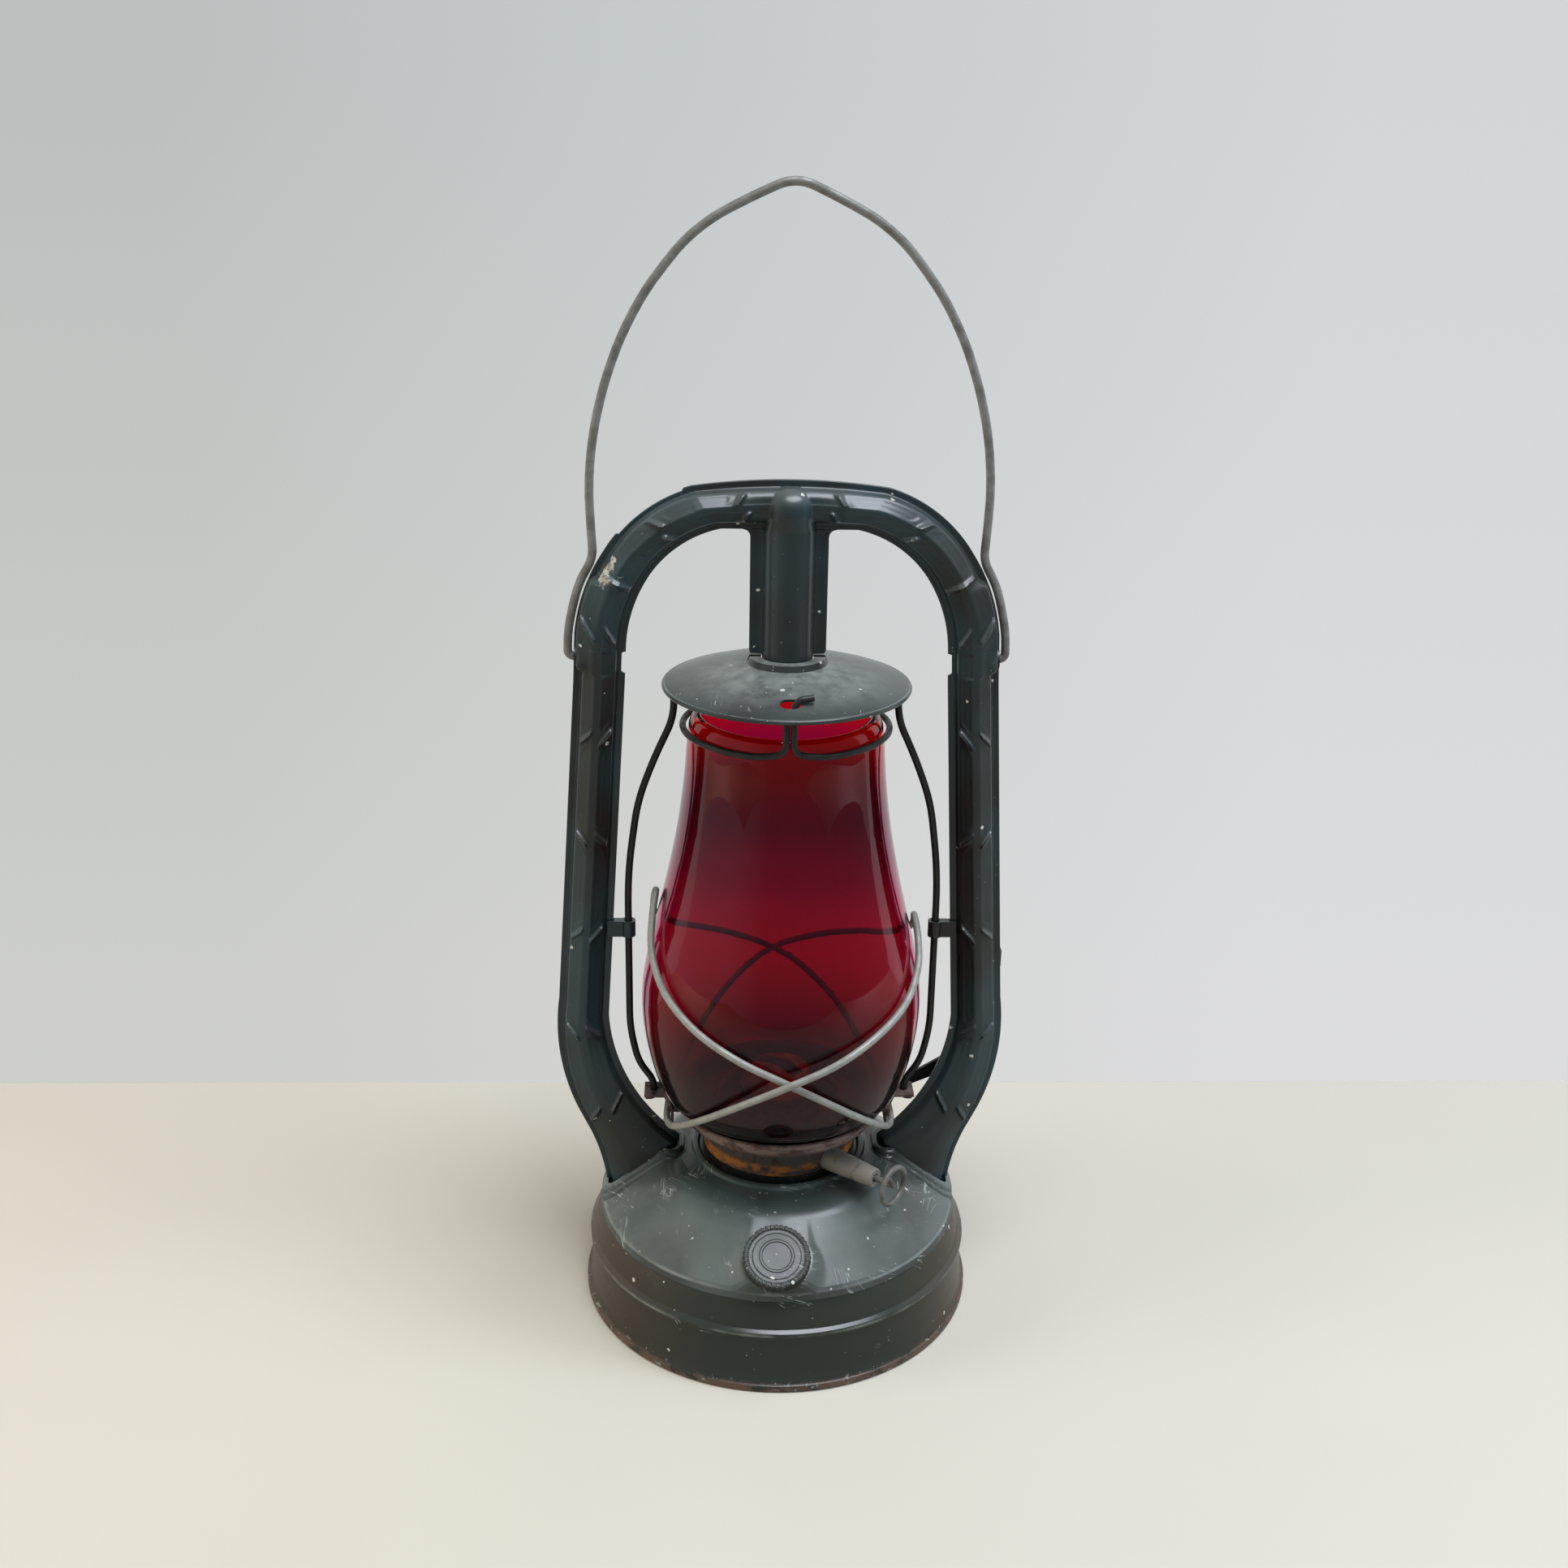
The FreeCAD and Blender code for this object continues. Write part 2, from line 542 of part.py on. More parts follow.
def tank_top():
    lap = "(shoulder_height - shoulder_lap)"
    body = spun("tank_top", [
        ("shoulder_radius - tinplate", lap),
        ("shoulder_radius", lap),
        ("shoulder_radius", "shoulder_height"),
        ("slope_foot_radius", "slope_foot_height"),
        ("slope_top_radius", "slope_top_height"),
        ("crown_foot_radius", "mouth_height"),
        ("crown_radius", "mouth_height + crown_rise"),
        ("2 * crown_radius - crown_foot_radius", "mouth_height"),
        ("mouth_radius", "mouth_height"),
        ("mouth_radius", "mouth_height - tinplate"),
        ("2 * crown_radius - crown_foot_radius", "mouth_height - tinplate"),
        ("crown_radius", "mouth_height + crown_rise - tinplate"),
        ("crown_foot_radius", "mouth_height - tinplate"),
        ("slope_top_radius - 0.4 * tinplate", "slope_top_height - tinplate"),
        ("slope_foot_radius - 0.8 * tinplate", "slope_foot_height - 0.6 * tinplate"),
        ("shoulder_radius - tinplate", "shoulder_height"),
    ])
    boss = body.newObject("PartDesign::AdditiveCone", "filler_boss")
    bind(boss, Radius1="boss_radius", Radius2="boss_top_radius", Height="boss_depth")
    on_filler_axis(boss, "boss_rise - boss_depth")
    trim = block(body, "boss_trim_outline", "XZ_Plane", "shoulder_radius", "shoulder_height - 6",
                 "shoulder_radius + 12", "shoulder_height + 30")
    feature(body, "Groove", "boss_trim", trim)
    hole = rod(body, "Subtractive", "filler_hole", "neck_radius - neck_wall", "24")
    on_filler_axis(hole, "-12")

def filler():
    bore = "(neck_radius - neck_wall)"
    neck_top = "(boss_rise + neck_rise)"
    on_filler_axis(spun("filler_neck", [
        (bore, "boss_rise"),
        ("neck_radius", "boss_rise"),
        ("neck_radius", neck_top),
        (bore, neck_top),
    ]))
    ceiling = f"({neck_top} + gasket_thick)"
    on_filler_axis(spun("filler_gasket", [
        (bore, neck_top),
        ("neck_radius", neck_top),
        ("neck_radius", ceiling),
        (bore, ceiling),
    ]))
    crown = f"({ceiling} + cap_top)"
    cap = spun("filler_cap", [
        ("0", ceiling),
        ("neck_radius + gap", ceiling),
        ("neck_radius + gap", f"{crown} - cap_height"),
        ("cap_radius", f"{crown} - cap_height"),
        ("cap_radius", f"{crown} - 0.7"),
        ("cap_radius - 0.7", crown),
        ("cap_radius - 2", crown),
        ("cap_radius - 2.6", f"{crown} - 0.5"),
        ("cap_radius - 6.6", f"{crown} - 0.5"),
        ("cap_radius - 7.2", f"{crown} - 0.1"),
        ("0", f"{crown} - 0.1"),
    ])
    flute = rod(cap, "Subtractive", "grip_flute", "cap_flute", "cap_height * 2",
                "cap_radius + cap_flute * 0.4", "0", f"{crown} - cap_height * 1.5")
    repeat_round(cap, "grip_flutes", [flute], "cap_flutes")
    on_filler_axis(cap)

LEDGE = "(mouth_height + collar_height)"
PLATE_FLOOR = "(burner_top + tinplate)"
TUBE_HALF_X = "(wick_width / 2 + gap)"
TUBE_HALF_Y = "(wick_thick / 2 + gap)"
SPINDLE_OFFSET = "(wick_thick / 2 + gap + wheel_radius)"
SPINDLE_BORE = "(spindle_wire / 2 + pivot_room)"

def along_wick(body):
    """Turn a body, modelled with the wick along X, to the direction of the spindle."""
    place(body, axis=UP, angle="spindle_azimuth")

def burner():
    spun("burner_collar", [
        ("mouth_radius - 1", "mouth_height"),
        ("collar_radius", "mouth_height"),
        ("collar_radius", LEDGE),
        ("mouth_radius - 1", LEDGE),
    ])
    neck = "(mouth_radius - 1 - gap)"
    body = spun("burner_body", [
        ("0", "burner_floor"),
        (neck, "burner_floor"),
        (neck, LEDGE),
        ("burner_radius", LEDGE),
        ("burner_radius", "burner_top"),
        ("burner_radius - tinplate", "burner_top"),
        ("burner_radius - tinplate", f"{LEDGE} + tinplate"),
        (f"{neck} - tinplate", f"{LEDGE} + tinplate"),
        (f"{neck} - tinplate", "burner_floor + tinplate"),
        ("0", "burner_floor + tinplate"),
    ])
    half_x = f"({TUBE_HALF_X} + wick_tube_wall + 0.1)"
    half_y = f"({TUBE_HALF_Y} + wick_tube_wall + 0.1)"
    seat = block(body, "wick_tube_seat", "XY_Plane", f"-{half_x}", f"-{half_y}", half_x, half_y,
                 "burner_floor")
    both_ways(feature(body, "Pocket", "wick_tube_hole", seat, Length="4 * tinplate"))
    rod(body, "Subtractive", "sleeve_hole", "sleeve_radius + gap", "burner_radius",
        "mouth_radius", f"-{SPINDLE_OFFSET}", "spindle_height", ACROSS, "90")
    along_wick(body)
    spun("air_plate", [
        ("air_hole_radius", "burner_top"),
        ("burner_radius", "burner_top"),
        ("burner_radius", PLATE_FLOOR),
        ("air_hole_radius", PLATE_FLOOR),
    ])

def flame_cone():
    top = f"({PLATE_FLOOR} + cone_height)"
    body = spun("flame_cone", [
        ("cone_waist_radius - cone_wall", PLATE_FLOOR),
        ("cone_base_radius", PLATE_FLOOR),
        ("cone_base_radius", f"{PLATE_FLOOR} + cone_wall"),
        ("cone_waist_radius", f"{PLATE_FLOOR} + cone_wall"),
        ("cone_waist_radius * 0.92", f"{top} - cone_height * 0.45"),
        ("cone_waist_radius * 0.66", f"{top} - cone_height * 0.13"),
        ("0", top),
        ("0", f"{top} - cone_wall"),
        ("cone_waist_radius * 0.66 - cone_wall * 0.5", f"{top} - cone_height * 0.13 - cone_wall"),
        ("cone_waist_radius * 0.92 - cone_wall", f"{top} - cone_height * 0.45 - cone_wall * 0.4"),
    ])
    opening = block(body, "flame_slot_outline", "XY_Plane", "-flame_slot / 2", "-flame_slot_width / 2",
                    "flame_slot / 2", "flame_slot_width / 2", f"{top} - cone_height * 0.3")
    backwards(feature(body, "Pocket", "flame_slot_cut", opening, Length="cone_height"))
    along_wick(body)

def wick_and_tube():
    outer_x = f"({TUBE_HALF_X} + wick_tube_wall)"
    outer_y = f"({TUBE_HALF_Y} + wick_tube_wall)"
    tube = new_body("wick_tube")
    outside = block(tube, "wick_tube_outside", "XY_Plane", f"-{outer_x}", f"-{outer_y}", outer_x,
                    outer_y, "wick_tube_foot")
    feature(tube, "Pad", "wick_tube_solid", outside, Length="wick_tube_top - wick_tube_foot")
    inside = block(tube, "wick_tube_inside", "XY_Plane", f"-{TUBE_HALF_X}", f"-{TUBE_HALF_Y}",
                   TUBE_HALF_X, TUBE_HALF_Y, "wick_tube_foot")
    backwards(feature(tube, "Pocket", "wick_tube_bore", inside, Length="wick_tube_top - wick_tube_foot"))
    half = "(wheel_thick / 2 + gap)"
    reach = "(wheel_radius + gap)"
    for side, middle in (("inner", "-wheel_spread"), ("outer", "wheel_spread")):
        opening = block(tube, f"wheel_slot_{side}", "XZ_Plane", f"{middle} - {half}",
                        f"spindle_height - {reach}", f"{middle} + {half}", f"spindle_height + {reach}",
                        TUBE_HALF_Y)
        backwards(feature(tube, "Pocket", f"wheel_slot_{side}_cut", opening, Length="wick_tube_wall * 2"))
    along_wick(tube)

    wick = new_body("wick")
    ribbon = block(wick, "wick_outline", "XY_Plane", "-wick_width / 2", "-wick_thick / 2",
                   "wick_width / 2", "wick_thick / 2", "wick_foot")
    feature(wick, "Pad", "wick_ribbon", ribbon, Length="wick_tube_top + wick_show - wick_foot")
    along_wick(wick)

def spindle():
    shaft = new_body("wick_spindle")
    section = disc(shaft, "shaft_section", "YZ_Plane", f"-{SPINDLE_OFFSET}", "spindle_height",
                   "spindle_wire / 2", "-spindle_inner")
    feature(shaft, "Pad", "shaft_rod", section, Length="knob_reach + spindle_inner")
    ring = shaft.newObject("PartDesign::AdditiveTorus", "finger_ring")
    bind(ring, Radius1="knob_radius", Radius2="knob_wire / 2")
    place(ring, "knob_reach", f"-{SPINDLE_OFFSET}", "spindle_height", ACROSS, "90")
    rod(shaft, "Additive", "ring_spoke", "knob_wire / 2", "knob_radius", "knob_reach",
        f"-{SPINDLE_OFFSET}", "spindle_height", SIDEWAYS, "35")
    along_wick(shaft)

    wheels = new_body("wick_wheels")
    tips = []
    for index in range(2 * round(size("wheel_teeth"))):
        reach = "wheel_radius" if index % 2 == 0 else "(wheel_radius - tooth_depth)"
        turn = f"{index} * 180 / wheel_teeth"
        tips.append((f"{reach} * sin({turn}) - {SPINDLE_OFFSET}", f"{reach} * cos({turn}) + spindle_height"))
    for side, middle in (("inner", "-wheel_spread"), ("outer", "wheel_spread")):
        star = outline(wheels, f"wheel_{side}_outline", "YZ_Plane", tips, f"{middle} - wheel_thick / 2")
        feature(wheels, "Pad", f"wheel_{side}", star, Length="wheel_thick")
    hub = disc(wheels, "hub_outline", "YZ_Plane", f"-{SPINDLE_OFFSET}", "spindle_height",
               f"{SPINDLE_BORE} + 0.6", "-wheel_spread")
    feature(wheels, "Pad", "hub", hub, Length="2 * wheel_spread")
    rod(wheels, "Subtractive", "hub_bore", SPINDLE_BORE, "4 * wheel_spread", "-2 * wheel_spread",
        f"-{SPINDLE_OFFSET}", "spindle_height", ACROSS, "90")
    along_wick(wheels)

    sleeve = new_body("spindle_sleeve")
    inner_end = f"(sqrt(burner_radius * burner_radius - {SPINDLE_OFFSET} * {SPINDLE_OFFSET}) - 2.5)"
    outside = disc(sleeve, "sleeve_outside", "YZ_Plane", f"-{SPINDLE_OFFSET}", "spindle_height",
                   "sleeve_radius", inner_end)
    feature(sleeve, "Pad", "sleeve_solid", outside, Length=f"sleeve_reach - {inner_end}")
    rod(sleeve, "Subtractive", "sleeve_bore", SPINDLE_BORE, "sleeve_reach", inner_end,
        f"-{SPINDLE_OFFSET}", "spindle_height", ACROSS, "90")
    along_wick(sleeve)

def globe_plate():
    rim = f"({PLATE_FLOOR} + plate_rim_rise)"
    brim = "(plate_rim_radius - plate_rim_wire * 0.6)"
    body = spun("globe_plate", [
        ("plate_inner_radius", f"{PLATE_FLOOR} + plate_cone_height"),
        ("plate_cone_radius", PLATE_FLOOR),
        ("plate_floor_radius", PLATE_FLOOR),
        (f"{brim} + tinplate", rim),
        (brim, rim),
        ("plate_floor_radius - tinplate", f"{PLATE_FLOOR} + tinplate"),
        ("plate_cone_radius + tinplate * 0.7", f"{PLATE_FLOOR} + tinplate"),
        ("plate_inner_radius + tinplate", f"{PLATE_FLOOR} + plate_cone_height"),
    ])
    section = disc(body, "plate_rim_section", "XZ_Plane", "plate_rim_radius", rim, "plate_rim_wire")
    feature(body, "Revolution", "plate_rim", section)
    for row, share in (("lower", "0.36"), ("upper", "0.7")):
        hole = rod(body, "Subtractive", f"air_hole_{row}", "plate_hole_radius", "plate_floor_radius - 2",
                   "0", "0", f"{PLATE_FLOOR} + plate_cone_height * {share}", ACROSS, "90")
        repeat_round(body, f"air_holes_{row}", [hole], "plate_holes")
    shelf_top = "ear_shelf + ear_thick"
    strap = [
        ("ear_inner", "ear_foot"),
        ("ear_inner + ear_thick", "ear_foot"),
        ("ear_inner + ear_thick", PLATE_FLOOR),
        ("ear_inner + ear_lean + ear_thick", "ear_shelf"),
        ("ear_reach", "ear_shelf"),
        ("ear_reach", shelf_top),
        ("ear_inner + ear_lean", shelf_top),
        ("ear_inner", f"{PLATE_FLOOR} + 0.6"),
    ]
    for side, sign in BOTH_SIDES:
        ear = outline(body, f"ear_{side}_outline", "XZ_Plane", signed(sign, strap))
        both_ways(feature(body, "Pad", f"ear_{side}", ear, Length="2 * ear_half"))
        tab = block(body, f"ear_root_{side}_outline", "XZ_Plane", f"{sign}(plate_floor_radius - 2)",
                    PLATE_FLOOR, f"{sign}(ear_inner + 0.5)", f"{PLATE_FLOOR} + tinplate")
        both_ways(feature(body, "Pad", f"ear_root_{side}", tab, Length="2 * ear_half"))
        rod(body, "Subtractive", f"ear_eye_{side}", "lift_wire / 2 + gap", "ear_thick + 2",
            f"{sign}wire_foot_spread", "0", "ear_shelf - 1")

def globe():
    foot = f"({PLATE_FLOOR} + tinplate)"
    top = f"({foot} + globe_height)"
    neck = f"({foot} + globe_neck_rise)"
    spun("globe", [
        ("globe_foot_radius - glass", foot),
        ("globe_foot_radius", foot),
        ("globe_neck_radius", neck),
        ("globe_neck_radius + 1.8", f"{neck} + 1.6"),
        ("globe_heel_radius - 1.8", "globe_heel_height - 1.8"),
        ("globe_heel_radius", "globe_heel_height"),
        ("globe_cheek_radius", "globe_cheek_height", "28"),
        ("globe_belly_radius", "globe_belly_height", "88"),
        ("globe_flank_radius", "globe_flank_height", "105"),
        ("globe_waist_radius", "globe_waist_height"),
        ("globe_throat_radius", "globe_throat_height", "-330"),
        ("globe_lip_radius", f"{top} - 1", "8"),
        ("globe_lip_radius - 1", top),
        ("globe_lip_radius - 1 - glass", top),
        ("globe_lip_radius - 1.6 - glass", f"{top} - 1"),
        ("globe_throat_radius - glass", "globe_throat_height - 1"),
        ("globe_waist_radius - glass", "globe_waist_height", "333"),
        ("globe_flank_radius - glass", "globe_flank_height"),
        ("globe_belly_radius - glass", "globe_belly_height", "-102.4"),
        ("globe_cheek_radius - glass", "globe_cheek_height + 1", "-85.4"),
        ("globe_heel_radius - glass - 1", "globe_heel_height + 1", "-26"),
        ("globe_neck_radius - glass + 1", f"{neck} + 3.4"),
        ("globe_neck_radius - glass", f"{neck} + 1.6"),
    ])

def canopy():
    low = "canopy_rim_height"
    bore = "(centre_radius + gap * 2)"
    body = spun("canopy", [
        ("canopy_radius - tinplate", low),
        ("canopy_radius", low),
        ("canopy_radius", f"{low} + tinplate"),
        ("canopy_neck_radius", "canopy_neck_height", "canopy_dome"),
        ("canopy_neck_radius - 1", "canopy_top_height"),
        (bore, "canopy_top_height"),
        (bore, "canopy_top_height - tinplate"),
        ("canopy_neck_radius - 1 - tinplate", "canopy_top_height - tinplate"),
        ("canopy_neck_radius - tinplate", "canopy_neck_height - tinplate"),
        ("canopy_radius - tinplate", f"{low} + 0.1", "-canopy_dome"),
    ])
    section = disc(body, "canopy_rim_section", "XZ_Plane", "canopy_radius", low, "canopy_rim_wire")
    feature(body, "Revolution", "canopy_rim", section)
    for side, sign in BOTH_SIDES:
        rod(body, "Additive", f"wire_boss_{side}", "lift_wire / 2 + gap + tinplate", "4.6",
            f"{sign}wire_top_spread", "0", f"{low} - 3.6")
        rod(body, "Subtractive", f"wire_eye_{side}", "lift_wire / 2 + gap", "4",
            f"{sign}wire_top_spread", "0", f"{low} - 3.6")
    half_flat = "(catch_width / 2 - catch_depth / 2)"
    near = "(-catch_distance - catch_depth / 2)"
    far = "(-catch_distance + catch_depth / 2)"
    catch = outline(body, "catch_slot_outline", "XY_Plane", [
        (half_flat, near),
        (half_flat, far, "catch_depth / 2 + 0.001"),
        (f"-{half_flat}", far),
        (f"-{half_flat}", near, "catch_depth / 2 + 0.001"),
    ], low)
    backwards(feature(body, "Pocket", "catch_slot", catch, Length="10"))
    slit = block(body, "flange_slot_outline", "XY_Plane", "-centre_flange - gap * 2",
                 "-flange_thick - gap * 2", "centre_flange + gap * 2", "flange_thick + gap * 2", low)
    backwards(feature(body, "Pocket", "flange_slot", slit, Length="20"))

def globe_ring():
    """Wire ring on the globe's neck, whose ends hook through the canopy's slot."""
    radius = size("ring_radius")
    level = size("ring_height")
    under = size("canopy_rim_height")
    slot = size("catch_distance")
    half = size("ring_wire / 2 + 0.15")
    steps = 20
    corner_radius = radius / math.cos(math.pi / steps)
    circle = []
    for step in range(1, steps):
        turn = math.radians(-90 + 360 * step / steps)
        circle.append(Vector(corner_radius * math.cos(turn), corner_radius * math.sin(turn), level))
    hook = [
        Vector(size("ring_tip"), -slot + 0.4, under + 6.2),
        Vector(half, -slot, under + 5.2),
        Vector(half, -slot - 1.4, under - 6),
        Vector(half, -radius, level + 1.5),
    ]
    leg = [
        Vector(-half, -radius, level + 1.5),
        Vector(-half, -slot - 1.4, under - 6),
        Vector(-half, -slot, under + 2),
    ]
    formed("globe_ring", bent_wire(hook + circle + leg, size("ring_wire")))

# Routes of the guard wires round the globe: angle from a wire's low side in degrees, height
GUARD_FOOT = [(0, 76.6), (18, 79.6), (36, 87.7), (58, 101.8), (76, 114.8), (90, 123.6)]
GUARD_LEFT = GUARD_FOOT + [(108, 131), (126, 137.6), (144, 144), (160, 152), (171, 159.8), (180, 166)]
GUARD_RIGHT = GUARD_FOOT + [(108, 132), (126, 139.9), (144, 148.6), (160, 158.6), (171, 169), (180, 176.5)]

def globe_radius(height):
    """Outside of the globe at a height."""
    ray = Part.LineSegment(Vector(0, 0, height), Vector(120, 0, height)).toShape()
    return max(vertex.X for vertex in ray.common(doc.getObject("globe").Shape).Vertexes)

def guard_wires():
    """Two leaning hoops that hug the globe and cross in front and behind."""
    thick = size("guard_wire")
    lowest = size("ear_inner + ear_thick + guard_wire / 2 + gap * 3")
    crossing = thick + 0.4
    for name, side, rise, route in (("guard_wire_left", -1, crossing, GUARD_LEFT),
                                    ("guard_wire_right", 1, 0, GUARD_RIGHT)):
        front = []
        for angle, height in route:
            if height < 100:
                reach = lowest + (height - route[0][1]) * 0.24
            else:
                reach = globe_radius(height) + thick / 2 + 1.2
            reach += rise * math.exp(-(((angle - 92) / 26) ** 2))
            turn = math.radians(angle)
            front.append(Vector(side * reach * math.cos(turn), -reach * math.sin(turn), height))
        back = [Vector(point.x, -point.y, point.z) for point in reversed(front[1:-1])]
        formed(name, bent_wire(front + back, thick, closed=True))

WINDOW_TOP = "(frame_height - arch_band)"
# Right half of the frame's outer edge, upwards
OUTER_EDGE = [
    ("foot_spread", "foot_height - 14"),
    ("foot_spread", "foot_height"),
    ("ankle_spread", "ankle_height", "-84"),
    ("shin_spread", "shin_height"),
    ("thigh_spread", "thigh_height", "95"),
    ("hip_spread", "hip_height"),
    ("bail_seat_spread", "bail_seat_height"),
    ("haunch_spread", "haunch_height", "70"),
    ("brow_spread", "frame_height - brow_drop", "56"),
    ("0", "frame_height", "250"),
]
# Right half of its inner edge, downwards
INNER_EDGE = [
    ("window_flat", WINDOW_TOP),
    ("window_haunch_spread", "window_haunch_height", "-42.5"),
    ("window_side_spread", "window_side_height", "-54"),
    ("waist_spread", "hip_height"),
    ("calf_spread", "calf_height"),
    ("foot_inner_spread", "instep_height", "-75"),
    ("foot_inner_spread", "foot_height + 4"),
]

def other_side(corners):
    """The same corners on the left, walked the other way."""
    turned = []
    for index in reversed(range(len(corners))):
        x, z = corners[index][:2]
        arc = corners[index + 1][2:] if index + 1 < len(corners) else ()
        turned.append((f"-({x})", z, *arc))
    return turned

FRAME_EDGE = OUTER_EDGE + other_side(OUTER_EDGE)[1:] + other_side(INNER_EDGE) + INNER_EDGE
CREST = "(wall_depth + panel_depth)"
PANEL_INSET = "(flange + wall_depth * tan(wall_draft))"
CREST_INSET = f"({PANEL_INSET} + panel_depth * tan(panel_draft))"

# Pressed cross ribs of the right tube: height, outer edge, inner edge, fall from outside inwards
RIBS = [
    (299, 75.4, 53.9, 8),
    (281, 79.2, 59.5, 8),
    (242, 81.4, 62.0, -6),
    (201, 84.2, 64.6, 6),
    (161, 86.8, 67.0, -6),
    (118, 89.6, 69.3, 6),
]

def ribs(name, side):
    """Cross ribs on both panels of both side tubes."""
    made = []
    for hand in (-1, 1):
        for height, outer, inner, fall in RIBS:
            middle = (outer + inner) / 2
            for label, edge, turn in (("outer", outer, 1), ("inner", inner, -1)):
                start = Vector(hand * (edge - turn * size(PANEL_INSET)), side * size("wall_depth"),
                               height + turn * fall / 2)
                finish = Vector(hand * (middle + turn * 1.2), side * size(CREST), height + turn * fall / 8)
                rib = doc.addObject("Part::Cylinder", f"{name}_rib")
                rib.Height = (finish - start).Length
                rib.Placement = Placement(start, Rotation(UP, finish - start))
                bind(rib, Radius="rib_radius")
                made.append(rib)
    return made

def bore_through(name, radius, length, x, y, z, axis, angle):
    """Cylinder that is later cut from a piece."""
    item = doc.addObject("Part::Cylinder", name)
    bind(item, Radius=radius, Height=length)
    place(item, x, y, z, axis, angle)
    return item

def heading(start, finish, radius, end):
    """Direction of travel on a line or arc at its start, end -1, or at its finish, end 1."""
    chord = finish - start
    turn = math.asin(chord.Length / (2 * radius)) * end if radius else 0
    return Rotation(UP, math.degrees(turn)).multVec(chord.normalize())

def moved_in(corners, amount):
    """An outline walked with its metal on the left, moved into the metal by an amount."""
    points = [Vector(size(corner[0]), size(corner[1]), 0) for corner in corners]
    radii = [size(corner[2]) if len(corner) > 2 else None for corner in corners]
    moved = []
    for index, point in enumerate(points):
        after = (index + 1) % len(points)
        arriving = UP.cross(heading(points[index - 1], point, radii[index], 1))
        leaving = UP.cross(heading(point, points[after], radii[after], -1))
        spot = point + (arriving + leaving) * (size(amount) / (1 + arriving.dot(leaving)))
        arc = () if radii[index] is None else (f"{radii[index] - size(amount):.5f}",)
        moved.append((f"{spot.x:.5f}", f"{spot.y:.5f}", *arc))
    return moved

